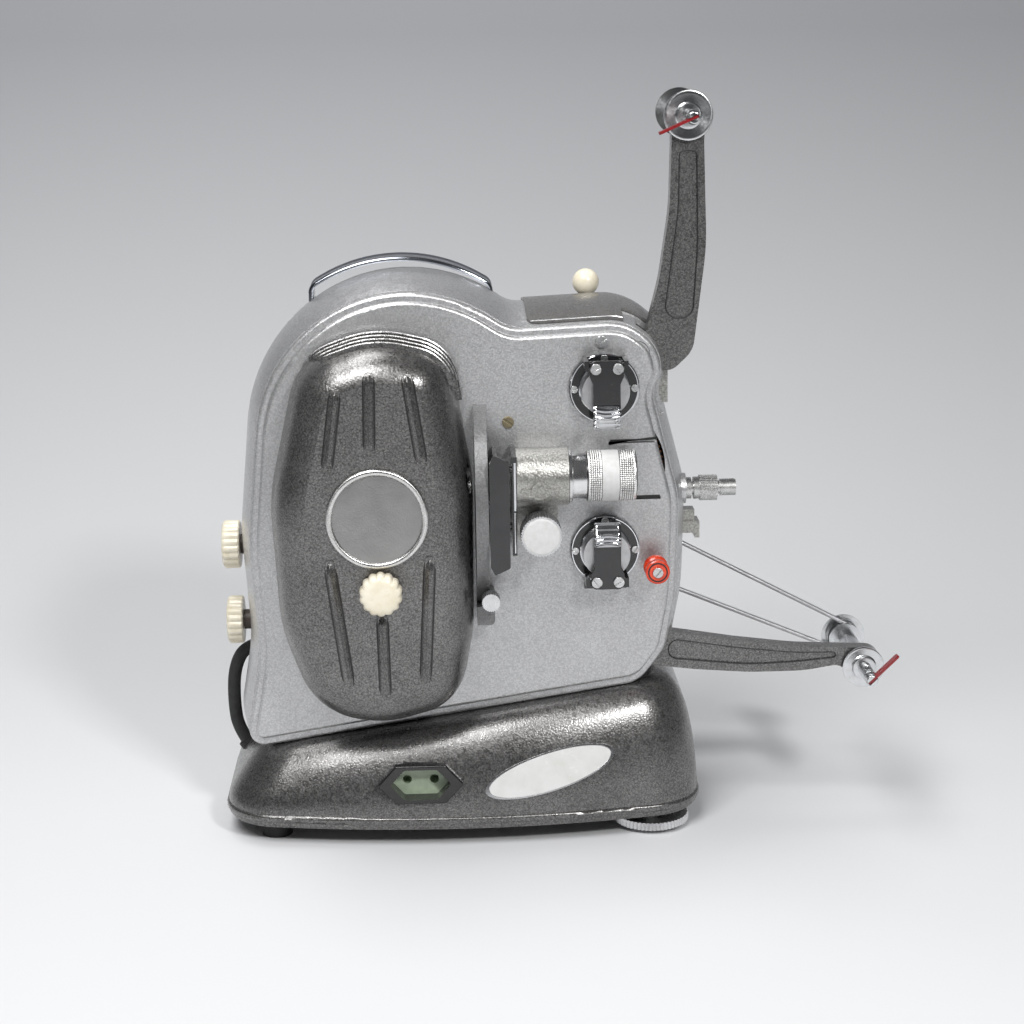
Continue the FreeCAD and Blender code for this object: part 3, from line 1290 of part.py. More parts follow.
def make_arm(outline, pivot, spool, recess):
    """A spool arm with its hub, its two bores and the sunk panel on its face."""
    body = fuse([slab(outline, arm_y0, arm_y1), rod_y(pivot[0], pivot[1], arm_hub_r, arm_y0, arm_y1)])
    holes = [rod_y(pivot[0], pivot[1], pivot_r + running, arm_y0 - 1, arm_y1 + 1),
             rod_y(spool[0], spool[1], spindle_axle_r + running, arm_y0 - 1, arm_y1 + 1),
             slab(recess, arm_y0 - 1, arm_y0 + recess_depth)]
    return cut(body, holes)


def spindle(spool, disc_r, rear_y, latch_angle):
    """Spool spindle with its front and rear discs and the slot for the latch."""
    x, z = spool
    tip = rod_y(x, z, spindle_tip_r, spindle_tip_y, seat_end_y + 1)
    tip = round_edges(tip, 0.7, flat_at("Y", spindle_tip_y))
    seat = rod_y(x, z, spindle_r, seat_end_y, disc_y)
    axle = rod_y(x, z, spindle_axle_r, disc_y, rear_y)
    front_hub = rod_y(x, z, spindle_hub_r, disc_y - 2.5, arm_y0 - 0.4)
    front = rod_y(x, z, disc_r, disc_y, disc_y + disc_thick)
    rear_hub = rod_y(x, z, spindle_hub_r, arm_y1 + 0.4, rear_y)
    rear = rod_y(x, z, rear_disc_r, rear_y, rear_y + disc_thick)
    body = fuse([tip, seat, axle, front_hub, front, rear_hub, rear])
    slot = box(x - 6, x + 6, spindle_tip_y - 1, latch_y + 4.2, z - latch_thick / 2 - 0.2, z + latch_thick / 2 + 0.2)
    pin = rod_z(x, latch_y, 0.8, z - latch_pin_half, z + latch_pin_half)
    for piece in (slot, pin):
        piece.rotate(vec(x, 0, z), vec(0, 1, 0), -latch_angle)
    return fuse([body.cut(slot), pin])


def make_lower_spindle():
    x, z = lower_spool
    body = spindle(lower_spool, lower_disc_r, lower_rear_y, lower_latch_angle)
    rim = rod_y(x, z, spool_belt_r + 1.6, belt_y - 3.4, belt_y + 3.4)
    body = fuse([body, rim])
    groove = ring_y(x, z, spool_belt_r + 4, spool_belt_r - belt_wire_r - gap, belt_y - belt_wire_r - gap,
                    belt_y + belt_wire_r + gap)
    return body.cut(groove)


def make_latch(spool, latch_angle):
    x, z = spool
    blade = box(x - 3.0, x + latch_reach, latch_y - latch_half_width, latch_y + latch_half_width,
                z - latch_thick / 2, z + latch_thick / 2)
    blade = round_edges(blade, 1.6, lambda b: b.ZMax - b.ZMin > latch_thick - 0.1)
    blade = blade.cut(rod_z(x, latch_y, 0.8 + running, z - 5, z + 5))
    blade.rotate(vec(x, 0, z), vec(0, 1, 0), -latch_angle)
    return blade


def make_main_shaft():
    """Drive shaft with its belt pulley, claw cam and worm."""
    shaft = rod_x(shaft_y, shaft_z, shaft_r, -14, coupling_x0)
    nose = rod_x(shaft_y, shaft_z, coupling_nose_r, coupling_x0 - 1, coupling_x0 + coupling_nose_length)
    pulley = rod_x(shaft_y, shaft_z, main_pulley_r, motor_belt_x0 - 0.5, motor_belt_x1 + 0.5)
    cam = rod_x(shaft_y, shaft_z + claw_throw, cam_r, claw_x0, claw_x1)
    hub = rod_x(shaft_y, shaft_z, 7, shutter_x + shutter_thick, claw_x0 - 0.6)
    x0 = worm_x - worm_length / 2
    core = rod_x(shaft_y, shaft_z, worm_root_r, x0, x0 + worm_length)
    threads = worm_thread(x0, worm_length)
    return fuse([shaft, nose, pulley, cam, hub, core, threads])


def worm_thread(x0, length):
    """One thread of the worm: a helix whose tooth lies under the axis at the middle of its length."""
    turns = int(length / worm_lead) - 1
    height = turns * worm_lead
    helix = Part.makeHelix(worm_lead, height, worm_pitch_r)
    half_root = worm_lead * 0.31
    half_tip = worm_lead * 0.13
    pts = [vec(worm_root_r - 0.4, 0, -half_root), vec(worm_tip_r, 0, -half_tip),
           vec(worm_tip_r, 0, half_tip), vec(worm_root_r - 0.4, 0, half_root)]
    profile = Part.makePolygon(pts + [pts[0]])
    thread = Part.Wire(helix).makePipeShell([profile], True, True)
    thread.translate(vec(0, 0, -height / 2))
    thread.rotate(vec(0, 0, 0), vec(0, 1, 0), 90)
    half_turn = 0 if turns % 2 == 0 else 180
    thread.rotate(vec(0, 0, 0), vec(1, 0, 0), half_turn)
    thread.translate(vec(x0 + length / 2, shaft_y, shaft_z))
    return thread


def make_shutter():
    """Three-bladed shutter disc on the drive shaft."""
    disc = rod_x(shaft_y, shaft_z, shutter_r, shutter_x, shutter_x + shutter_thick)
    windows = []
    for i in range(3):
        a0 = math.radians(120 * i + 20)
        a1 = math.radians(120 * i + 80)
        far = shutter_r + 5
        pts = []
        for r, a in ((24, a0), (far, a0), (far * 1.2, (a0 + a1) / 2), (far, a1), (24, a1)):
            pts.append(vec(shutter_x - 1, shaft_y + r * math.cos(a), shaft_z + r * math.sin(a)))
        pts.append(pts[0])
        windows.append(Part.Face(Part.makePolygon(pts)).extrude(vec(shutter_thick + 2, 0, 0)))
    disc = cut(disc, windows)
    return disc.cut(rod_x(shaft_y, shaft_z, shaft_r, shutter_x - 1, shutter_x + 3))


def make_coupling():
    """Flexible-shaft coupling on the nose of the drive shaft."""
    parts = []
    x = coupling_x0
    for r, length in coupling_stages:
        if r == coupling_knurl_r:
            parts.append(along_x(fluted(0, 0, r, 0.35, 36, 0, length), x, shaft_y, shaft_z))
        else:
            parts.append(rod_x(shaft_y, shaft_z, r, x, x + length))
        x += length
    body = fuse(parts)
    body = body.cut(rod_x(shaft_y, shaft_z, coupling_nose_r, coupling_x0 - 1, coupling_x0 + coupling_nose_length))
    slot = box(x - coupling_slot, x + 1, shaft_y - 1.2, shaft_y + 1.2, shaft_z - 8, shaft_z + 8)
    return body.cut(slot)


def make_motor():
    stator = rod_x(motor_y, motor_z, motor_r, motor_x0, motor_x1)
    bells = [rod_x(motor_y, motor_z, motor_bell_r, motor_x0 - motor_bell, motor_x0 + 1),
             rod_x(motor_y, motor_z, motor_bell_r, motor_x1 - 1, motor_x1 + motor_bell)]
    cradle = box(-66, -24, motor_y - 17, motor_y + 17, 50, motor_z - 10).common(case_solid(wall))
    body = fuse([stator, cradle] + bells)
    return body.cut(rod_x(motor_y, motor_z, motor_shaft_r + running, -85, 0))


def make_rotor():
    """Motor shaft with the cooling fan at its tail and the drive pulley at its nose."""
    shaft = rod_x(motor_y, motor_z, motor_shaft_r, fan_x0 - 2, motor_belt_x1 + 1.5)
    hub = rod_x(motor_y, motor_z, fan_root_r + 2, fan_x0 - 1, fan_x1 + 1)
    pulley = rod_x(motor_y, motor_z, motor_pulley_r, motor_belt_x0 - 0.5, motor_belt_x1 + 0.5)
    blades = []
    for i in range(fan_blades):
        blade = box(fan_x0, fan_x1, motor_y - 1, motor_y + 1, motor_z + fan_root_r, motor_z + fan_r)
        blade.rotate(vec((fan_x0 + fan_x1) / 2, motor_y, motor_z + fan_root_r), vec(0, 0, 1), 28)
        blade.rotate(vec(0, motor_y, motor_z), vec(1, 0, 0), 360 / fan_blades * i)
        blades.append(blade)
    back = rod_x(motor_y, motor_z, 24, fan_x1 - 0.4, fan_x1 + 1)
    return fuse([shaft, hub, pulley, back] + blades)


def make_motor_belt():
    """Flat belt from the motor up to the drive shaft, just clear of both pulleys."""
    def loop(extra):
        path = belt_path(shaft_y, shaft_z, main_pulley_r + extra, motor_y, motor_z, motor_pulley_r + extra,
                         lambda y, z: vec(motor_belt_x0, y, z))
        return Part.Face(path).extrude(vec(motor_belt_x1 - motor_belt_x0, 0, 0))
    return loop(gap + motor_belt_thick).cut(loop(gap))


def make_roller():
    """Film roller with a waist and two rims."""
    rims = [rod_y(roller_x, roller_z, roller_r, roller_y0, roller_y0 + roller_rim),
            rod_y(roller_x, roller_z, roller_r, roller_y1 - roller_rim, roller_y1)]
    waist = rod_y(roller_x, roller_z, roller_waist_r, roller_y0, roller_y1)
    rims = [round_edges(r, 1.0, lambda b: True) for r in rims]
    return fuse(rims + [waist]).cut(rod_y(roller_x, roller_z, roller_pin_r + running, -80, -50))


def make_side_brackets():
    """Belt hook and arm stop on the front wall of the case."""
    hook = fuse([box(*sides) for sides in belt_hook])
    stop = box(*arm_stop)
    return group([piece.cut(case_form(0)) for piece in (hook, stop)])


def make_controls():
    """Speed resistor and mains switch inside the back wall, each with its threaded neck."""
    blocks = []
    for z in (speed_knob_z, switch_knob_z):
        block = box(control_block_x0, control_block_x1, control_y - control_block_half,
                    control_y + control_block_half, z - control_block_half, z + control_block_half)
        block = block.common(case_solid(wall + running))
        neck = rod_x(control_y, z, control_neck_r, control_knob_back_x + gap, -116)
        bore = rod_x(control_y, z, control_shaft_r + running, -140, control_shaft_end + 2)
        body = fuse([block, neck]).cut(bore)
        blocks.append(body)
    return group(blocks)


def control_knob(face_x, z):
    head = along_x(fluted(0, 0, control_knob_r, 1.0, 20, 0, control_knob_back_x - face_x), face_x, control_y, z)
    shaft = rod_x(control_y, z, control_shaft_r, control_knob_back_x - 1, control_shaft_end)
    return fuse([head, shaft])


def arc_route(points, place):
    """A path of straight runs joined by arcs as large as the runs allow, and each arc's radius."""
    edges = []
    radii = []
    here = points[0]
    for i in range(1, len(points) - 1):
        (ax, az), (bx, bz), (cx, cz) = points[i - 1], points[i], points[i + 1]
        la, lc = math.hypot(ax - bx, az - bz), math.hypot(cx - bx, cz - bz)
        ux, uz = (ax - bx) / la, (az - bz) / la
        wx, wz = (cx - bx) / lc, (cz - bz) / lc
        half = math.acos(ux * wx + uz * wz) / 2
        t = 0.45 * min(la, lc)
        r = t * math.tan(half)
        bis = math.hypot(ux + wx, uz + wz)
        mx, mz = (ux + wx) / bis, (uz + wz) / bis
        mid_far = r / math.sin(half) - r
        start = (bx + ux * t, bz + uz * t)
        stop = (bx + wx * t, bz + wz * t)
        mid = (bx + mx * mid_far, bz + mz * mid_far)
        edges.append(Part.LineSegment(place(*here), place(*start)).toShape())
        edges.append(Part.Arc(place(*start), place(*mid), place(*stop)).toShape())
        radii.append(round(r, 1))
        here = stop
    edges.append(Part.LineSegment(place(*here), place(*points[-1])).toShape())
    return Part.Wire(edges), radii


def cable_tube(radius):
    path, radii = arc_route(cable_route, lambda x, z: vec(x, cable_y, z))
    (x0, z0), (x1, z1) = cable_route[:2]
    profile = Part.Wire([Part.Circle(vec(x0, cable_y, z0), vec(x1 - x0, 0, z1 - z0), radius).toShape()])
    tube = path.makePipeShell([profile], True, False)
    return tube, path, radii


def make_cable():
    tube, path, radii = cable_tube(cable_r)
    expected = math.pi * cable_r ** 2 * path.Length
    print("link cable length", round(path.Length, 1), "radii", radii, "volume share", round(tube.Volume / expected, 4))
    return tube


def make_grommets():
    """Rubber grommets where the link cable leaves the case and enters the foot."""
    rings = []
    for start, stop, length in ((cable_route[0], cable_route[1], 6.0), (cable_route[-1], cable_route[-2], 10.5)):
        outer = rod_between(start, stop, 0.5, 0.5 + length, grommet_r)
        rings.append(outer.cut(rod_between(start, stop, 0, length + 1, cable_r + running)))
    return group(rings)


makers = {
    "body_shell": make_case,
    "front_plate": make_front_plate,
    "back_cover": make_back_cover,
    "case_screws": make_case_screws,
    "face_screws": make_face_screws,
    "handle": make_handle,
    "top_lid": make_lid,
    "lid_knob": make_lid_knob,
    "base_shell": make_base,
    "base_plate": make_base_plate,
    "rubber_feet": make_feet,
    "foot_wheel": make_foot_wheel,
    "foot_pad": make_foot_pad,
    "outlet_bezel": make_bezel,
    "outlet_insert": make_insert,
    "name_plate": make_label,
    "transformer": make_transformer,
    "lamp_cover": make_lamp_cover,
    "badge": make_badge,
    "lamp_knob": make_lamp_knob,
    "lamp": make_lamp,
    "lamp_bracket": make_lamp_bracket,
    "condenser": make_condenser,
    "shutter_cover": make_shutter_cover,
    "catch_knob": make_catch_knob,
    "aperture_plate": make_aperture_plate,
    "film_claw": make_claw,
    "pressure_plate": make_pressure_plate,
    "lens_holder": make_lens_holder,
    "lens_tube": make_lens_tube,
    "focus_ring": make_focus_ring,
    "lens_glass": make_lens_glass,
    "gate_knob": make_gate_knob,
    "sprocket_flanges": make_flanges,
    "upper_sprocket": make_upper_sprocket,
    "lower_sprocket": make_lower_sprocket,
    "upper_shoe": lambda: make_shoe(upper_sprocket_z, False),
    "lower_shoe": lambda: make_shoe(lower_sprocket_z, True),
    "idler_gear": make_idler,
    "film_roller": make_roller,
    "main_shaft": make_main_shaft,
    "shutter": make_shutter,
    "shaft_coupling": make_coupling,
    "motor": make_motor,
    "motor_rotor": make_rotor,
    "motor_belt": make_motor_belt,
    "take_up_pulley": make_take_up_pulley,
    "spring_belt": make_spring_belt,
    "upper_arm": lambda: make_arm(upper_arm_outline, upper_pivot, upper_spool, upper_recess),
    "lower_arm": lambda: make_arm(lower_arm_outline, lower_pivot, lower_spool, lower_recess),
    "upper_spindle": lambda: spindle(upper_spool, upper_disc_r, upper_rear_y, upper_latch_angle),
    "lower_spindle": make_lower_spindle,
    "upper_latch": lambda: make_latch(upper_spool, upper_latch_angle),
    "lower_latch": lambda: make_latch(lower_spool, lower_latch_angle),
    "side_brackets": make_side_brackets,
    "controls": make_controls,
    "speed_knob": lambda: control_knob(speed_knob_x, speed_knob_z),
    "switch_knob": lambda: control_knob(switch_knob_x, switch_knob_z),
    "link_cable": make_cable,
    "cable_grommets": make_grommets,
}

for name, make in makers.items():
    shape = make()
    if not shape.isValid():
        print("invalid", name)
    shape.exportStep("parts/" + name + ".step")
    print(name, len(shape.Solids), round(shape.Volume, 1))
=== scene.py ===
import math

import bmesh
import bpy
from mathutils import Matrix, Vector
from mathutils.bvhtree import BVHTree


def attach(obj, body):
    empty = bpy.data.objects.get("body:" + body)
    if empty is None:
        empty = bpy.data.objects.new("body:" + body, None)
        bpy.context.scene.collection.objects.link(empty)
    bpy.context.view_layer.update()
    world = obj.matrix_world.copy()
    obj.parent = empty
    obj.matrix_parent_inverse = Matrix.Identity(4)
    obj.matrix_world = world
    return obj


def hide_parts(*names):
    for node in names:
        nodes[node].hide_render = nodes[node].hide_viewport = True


# The looks of an 8 mm movie projector. X is the direction of projection, -Y faces the operator, Z is up.
# Blender works in metres, so a size in millimetres is written times MM.
MM = 0.001

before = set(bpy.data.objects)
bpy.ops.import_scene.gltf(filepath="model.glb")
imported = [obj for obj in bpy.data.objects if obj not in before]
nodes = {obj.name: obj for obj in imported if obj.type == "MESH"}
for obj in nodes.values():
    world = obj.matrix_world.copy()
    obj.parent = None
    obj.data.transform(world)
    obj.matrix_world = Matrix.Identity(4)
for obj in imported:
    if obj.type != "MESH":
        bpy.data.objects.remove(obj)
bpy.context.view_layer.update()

# Camera: the photograph's place and angle, with its slight roll
camera_place = (-0.0107, -1.230, 0.4793)
camera_lens = 73.83
camera_yaw = -2.037
camera_pitch = -13.581
camera_roll = -0.921

# Link cable between the case and the foot: the route of its middle line in X and Z, in one plane
cable_y = 15.0
cable_r = 4.0
cable_route = [(-121.0, 99.5), (-132.0, 98.0), (-139.5, 84.0), (-140.7, 62.0), (-138.5, 43.0), (-128.0, 28.0)]

# Faces that the pieces below stand on, as planes along Y
plate_face_y = -50.0
flange_face_y = -53.0
arm_face_y = -37.0
disc_back_y = -38.8

# Centres of the parts that the pieces below are built round
lens_y = -70.0
lens_z = 219.0
shaft_axis = (0.0, -20.0, 199.0)
holder_end_x = 62.5
sprocket_x = 85.0
upper_sprocket_z = 265.75
lower_sprocket_z = 170.75
focus_x0 = 73.0
focus_r = 14.65
gate_knob_face = (46.2, -92.6, 189.6)
badge_place = (-45.4, -95.9, 203.0)
badge_r = 28.5
badge_bore_r = 24.9
lamp_knob_seat = (-44.3, -96.2, 161.8)
lamp_knob_r = 12.2
lamp_screw_r = 2.5
lamp_screw_length = 24.2
control_knob_back_x = -130.6
control_knob_r = 14.7
control_shaft_r = 3.0
control_shaft_length = 20.5
speed_knob_x = -141.2
speed_knob_z = 166.4
switch_knob_x = -140.3
switch_knob_z = 119.3
take_up = (103.49, 156.25)
lower_spool = (240.5, 91.0)
upper_spool = (134.0, 417.5)
upper_disc_r = 14.0
lower_disc_r = 12.5

# Oval name plate on the foot
label_x = 50.4
label_z = 43.4
label_half_l = 39.4
label_half_h = 11.2
label_tilt = 14.7

# Spring belt of the take-up drive
belt_y = 20.0
drive_belt_r = 15.4
spool_belt_r = 8.5
belt_r = 1.5
belt_wire = 0.9

# Knurl of the lens barrel: its two bands, and the pitch and depth of its grooves
knurl_bands = ((0.8, 7.9), (18.3, 26.7))
knurl_pitch = 1.2
knurl_depth = 0.42

# Film shoes. X and Z are measured from the sprocket's axis, and the lower shoe is turned round.
shoe_half = 9.6
shoe_waist_half = 7.7
shoe_face_y = -71.0
shoe_back_y = -69.0
shoe_hinge_z = 16.2
shoe_hinge_y = -66.4
shoe_barrel_r = 2.1
shoe_screw_x = 6.3
shoe_screw_z = 14.4
shoe_screw_r = 3.1

# Chrome thumb pad of a shoe: its place and size, and how far it swells, curls and ridges
pad_start = -6.6
pad_length = 13.6
pad_y = -70.9
pad_thick = 1.8
pad_crown = 2.9
pad_curl = 2.2
ridge_height = 0.75
ridge_count = 3

# Ribs pressed into the lamp cover, each from its lower to its upper end in X and Z
lamp_ribs = [(-72.5, 230, -66, 276), (-48.6, 240, -47.6, 285), (-19.5, 232, -27, 284),
             (-63.5, 103, -73, 180), (-43.6, 98, -44.2, 148), (-21, 105, -16.5, 181)]

# Lips over the top of the lamp cover, drawn as bright tubes of painted highlight: offset from its outline, Y,
# lowest Z, from X, to X
cover_lips = [(2.1, -57.6, 264, -81, 3), (1.2, -64.6, 268, -78, 1), (0.3, -71.6, 272, -75, -1),
              (-0.6, -78.6, 276, -72, -3)]
lip_r = 0.62

# Painted highlights along bright edges: of the top lid, and of the lens holder's plate as (Y, from Z, to Z,
# radius)
lid_edge_start = 43.0
lid_edge_end = 96.5
lid_edge_y = -39.7
gate_edge_x = 31.9
gate_edges = [(-86.2, 203.4, 231.0, 0.75), (-77.1, 176.5, 201.5, 0.6)]

# Section of the handle's strap: place in Y and lift from its middle line
handle_section = [(7.0, 0.0), (7.3, 1.0), (8.3, 1.6), (9.5, 1.3), (10.4, 0.7), (19.5, 1.0), (28.6, 0.7),
                  (29.5, 1.3), (30.7, 1.6), (31.7, 1.0), (32.0, 0.0), (31.6, -0.9), (30.6, -1.1), (8.4, -1.1),
                  (7.4, -0.9)]

# Middle line of the handle's strap in X and Z, with its roundings
handle_line = [(-83.1, 291.0, 0), (-83.1, 319.2, 6), (-31.0, 348.7, 94), (22.5, 318.4, 6), (22.5, 291.0, 0)]

# Outlines of the lamp cover and the sunk panels of the arms, as in the solids: X, Z and corner radius
lamp_outline = [(-86, 83, 44), (-104, 133, 90), (-107.5, 208, 110), (-89, 287, 40), (-45, 302, 60),
                (-3, 292, 26), (8.8, 215, 150), (7.8, 128, 60), (0, 86, 32), (-45, 74, 66)]
upper_recess = [(129.3, 398, 3), (129.0, 366, 150), (122.6, 318, 120), (120.5, 303, 7), (137.3, 303, 7),
                (140.0, 344, 150), (139.3, 398, 3)]
lower_recess = [(224, 100.0, 1.5), (199, 100.4, 160), (165, 104.4, 160), (124.5, 111.0, 5.5),
                (123.0, 99.0, 5.5), (172, 93.6, 160), (200, 94.6, 160), (224, 96.6, 1.5)]

# The two slots beside the lens, whose shaded insides are painted as dark plates, as outlines in X and Z
upper_slot = [(87.6, 234.0), (114.9, 234.9), (115.2, 236.6), (112.6, 236.4), (104.0, 235.5), (88.6, 235.4),
              (88.6, 232.6), (87.6, 232.6)]
lower_slot = [(101.8, 200.6), (117.2, 200.6), (117.2, 202.3), (101.8, 202.1)]

# Screws on the front, as (x, z, face of the seat in Y, radius of the head, angle of the slot)
flange_screws = [(67.6, 265.75, flange_face_y, 2.1, 0.4), (102.4, 265.75, flange_face_y, 2.1, -0.9),
                 (85.0, 283.15, flange_face_y, 2.1, 1.2), (67.6, 170.75, flange_face_y, 2.1, -0.5),
                 (102.4, 170.75, flange_face_y, 2.1, 1.0), (85.0, 188.15, flange_face_y, 2.1, 0.2)]
plate_screws = [(83.5, 292.3, plate_face_y, 3.4, 0.7), (-90.0, 118.0, plate_face_y, 3.4, 0.3),
                (-90.0, 238.0, plate_face_y, 3.4, 1.3)]
guide_screw = (29.8, 247.0, plate_face_y, 3.4, -0.65)
screw_head = 1.3
screw_pin_r = 0.9
screw_pin_length = 9.0
roller_screw = (113.6, 161.7, -72.5, 3.0, 0.9)


def link(obj):
    bpy.context.scene.collection.objects.link(obj)
    return obj


def make_camera():
    data = bpy.data.cameras.new("photo_camera")
    data.lens = camera_lens
    data.sensor_width = 36.0
    data.clip_start = 0.01
    camera = link(bpy.data.objects.new("photo_camera", data))
    camera.location = camera_place
    turn = Matrix.Rotation(math.radians(camera_yaw), 4, "Z")
    tilt = Matrix.Rotation(math.radians(90 + camera_pitch), 4, "X")
    roll = Matrix.Rotation(math.radians(camera_roll), 4, "Z")
    camera.rotation_euler = (turn @ tilt @ roll).to_euler()
    bpy.context.scene.camera = camera


class Finish:
    """A material in the making: its shader and the nodes that feed it."""

    def __init__(self, name, color, roughness, metallic=0.0):
        self.material = bpy.data.materials.new(name)
        self.material.use_nodes = True
        self.tree = self.material.node_tree
        self.shader = self.tree.nodes["Principled BSDF"]
        self.set("Base Color", (*color, 1.0))
        self.set("Roughness", roughness)
        self.set("Metallic", metallic)
        self.coords = self.add("TexCoord").outputs["Object"]

    def set(self, socket, value):
        """Gives a socket of the shader a value, or the output of a node."""
        if isinstance(value, bpy.types.NodeSocket):
            self.tree.links.new(value, self.shader.inputs[socket])
        else:
            self.shader.inputs[socket].default_value = value

    def add(self, kind, inputs=None, **settings):
        """Adds a node and gives its inputs values or outputs of other nodes."""
        node = self.tree.nodes.new("ShaderNode" + kind)
        for name, value in settings.items():
            setattr(node, name, value)
        for key, value in (inputs or {}).items():
            socket = node.inputs[key]
            if isinstance(value, bpy.types.NodeSocket):
                self.tree.links.new(value, socket)
            else:
                socket.default_value = value
        return node

    def math(self, operation, a, b=0.0):
        return self.add("Math", {0: a, 1: b}, operation=operation).outputs[0]

    def vector(self, operation, a, b=(0.0, 0.0, 0.0)):
        return self.add("VectorMath", {0: a, 1: b}, operation=operation)

    def noise(self, size, detail=3.0, coords=None, roughness=0.5):
        """Noise from 0 to 1 whose blotches are about size across."""
        node = self.add("TexNoise", {
            "Vector": coords or self.coords, "Scale": 1 / size, "Detail": detail, "Roughness": roughness})
        return node.outputs["Fac"]

    def span(self, value, low, high, to_low=0.0, to_high=1.0):
        """value mapped from low..high to to_low..to_high, and held at the ends."""
        node = self.add("MapRange", {
            "Value": value, "From Min": low, "From Max": high, "To Min": to_low, "To Max": to_high})
        return node.outputs["Result"]

    def mix(self, factor, first, second):
        """One colour turning into another as factor goes from 0 to 1."""
        node = self.add("Mix", {"Factor": factor}, data_type="RGBA")
        for name, value in (("A", first), ("B", second)):
            socket = [s for s in node.inputs if s.name == name and s.type == "RGBA"][0]
            if isinstance(value, bpy.types.NodeSocket):
                self.tree.links.new(value, socket)
            else:
                socket.default_value = (*value, 1.0)
        return [s for s in node.outputs if s.type == "RGBA"][0]

    def bump(self, height, depth):
        inputs = {"Height": height, "Distance": depth, "Strength": 1.0}
        return self.add("Bump", inputs).outputs["Normal"]

    def tarnish(self, color, share, size):
        """A base colour with darker blotches about size across."""
        blotches = self.span(self.noise(size, 4.0), 0.35, 0.7)
        self.set("Base Color", self.mix(blotches, tuple(share * c for c in color), color))

    def stretched(self, along, across):
        """Object coordinates squeezed so that noise of size 1 is across wide; along is (axis, length)."""
        axis, length = along
        sizes = [1 / across] * 3
        sizes["XYZ".index(axis)] = 1 / length
        return self.add("Mapping", {"Vector": self.coords, "Scale": sizes}).outputs["Vector"]

    def around(self, centre, axis):
        """Distance from a line along axis through centre, in metres."""
        flat = [1.0, 1.0, 1.0]
        flat["XYZ".index(axis)] = 0.0
        shifted = self.vector("SUBTRACT", self.coords, centre).outputs[0]
        flattened = self.vector("MULTIPLY", shifted, flat).outputs[0]
        return self.vector("LENGTH", flattened).outputs["Value"]


def hammered(name, dark, light, cell, depth, roughness, metallic, grime=0.0):
    """Hammered enamel: shallow cells in the paint with brighter flakes in their middles. Sizes in mm."""
    cell, depth = cell * MM, depth * MM
    f = Finish(name, light, roughness, metallic)
    warp = f.add("TexNoise", {"Vector": f.coords, "Scale": 1 / (cell * 2.2), "Detail": 2.0})
    shift = f.add("VectorMath", {0: warp.outputs["Color"], 3: cell * 1.1}, operation="SCALE")
    place = f.vector("ADD", f.coords, shift.outputs[0]).outputs[0]
    cells = f.add("TexVoronoi", {"Vector": place, "Scale": 1 / cell}, feature="F1")
    middle = f.span(cells.outputs["Distance"], 0.25, 0.72, 1.0, 0.0)
    fleck = f.span(f.noise(cell * 0.55, 2.0), 0.35, 0.68)
    tone = f.math("ADD", f.math("MULTIPLY", middle, 0.45), f.math("MULTIPLY", fleck, 0.55))
    cloud = f.span(f.noise(38 * MM, 3.0), 0.3, 0.7, -0.08, 0.08)
    color = f.mix(f.math("ADD", tone, cloud), dark, light)
    if grime:
        stain = f.span(f.noise(60 * MM, 6.0, roughness=0.65), 0.52, 0.72, 0.0, grime)
        color = f.mix(stain, color, tuple(0.45 * c for c in dark))
    f.set("Base Color", color)
    f.set("Roughness", f.span(f.noise(cell * 3, 3.0), 0.3, 0.7, roughness - 0.06, roughness + 0.08))
    f.set("Normal", f.bump(middle, depth))
    f.set("Coat Weight", 0.35)
    f.set("Coat Roughness", 0.22)
    return f.material


def polished(name, color, roughness):
    """Plated or polished metal with faint smudges and hairlines."""
    f = Finish(name, color, roughness, 1.0)
    f.set("Roughness", f.span(f.noise(14 * MM, 5.0), 0.4, 0.75, roughness, roughness + 0.08))
    hairs = f.noise(1.0, 2.0, f.stretched(("X", 9 * MM), 0.35 * MM))
    f.set("Normal", f.bump(hairs, 0.002 * MM))
    f.tarnish(color, 0.93, 5 * MM)
    return f.material


def brushed(name, color, roughness, along="Y"):
    """Machined metal with fine tool marks that run along one axis."""
    f = Finish(name, color, roughness, 1.0)
    marks = f.noise(1.0, 3.0, f.stretched((along, 18 * MM), 0.25 * MM))
    f.set("Normal", f.bump(marks, 0.012 * MM))
    f.set("Roughness", f.span(marks, 0.3, 0.7, roughness - 0.05, roughness + 0.12))
    f.tarnish(color, 0.82, 6 * MM)
    return f.material


def turned(name, color, roughness, centre, axis):
    """Turned metal: fine rings left by the tool round an axis, with highlights that fan out from it."""
    f = Finish(name, color, roughness, 1.0)
    f.set("Anisotropic", 0.8)
    f.set("Tangent", f.add("Tangent", direction_type="RADIAL", axis=axis).outputs["Tangent"])
    radius = f.around([c * MM for c in centre], axis)
    ring_pitch = 0.9 * MM
    wave = f.math("SINE", f.math("MULTIPLY", radius, 2 * math.pi / ring_pitch))
    streak = f.noise(1.2 * MM, 3.0)
    height = f.math("ADD", f.math("MULTIPLY", wave, 0.5), f.math("MULTIPLY", streak, 0.3))
    f.set("Normal", f.bump(height, 0.002 * MM))
    f.set("Roughness", f.span(streak, 0.3, 0.7, roughness - 0.02, roughness + 0.04))
    f.tarnish(color, 0.86, 4 * MM)
    return f.material


def moulded(name, color, deep, roughness, mottle=5.0, coat=0.0, depth=0.01):
    """Moulded plastic or rubber with a slight mottle."""
    f = Finish(name, color, roughness)
    mottling = f.span(f.noise(mottle * MM, 5.0, roughness=0.6), 0.35, 0.72)
    f.set("Base Color", f.mix(mottling, deep, color))
    f.set("Roughness", f.span(f.noise(3 * MM, 4.0), 0.3, 0.7, roughness - 0.05, roughness + 0.08))
    f.set("Normal", f.bump(f.noise(0.6 * MM, 3.0), depth * MM))
    f.set("Coat Weight", coat)
    f.set("Coat Roughness", 0.12)
    return f.material


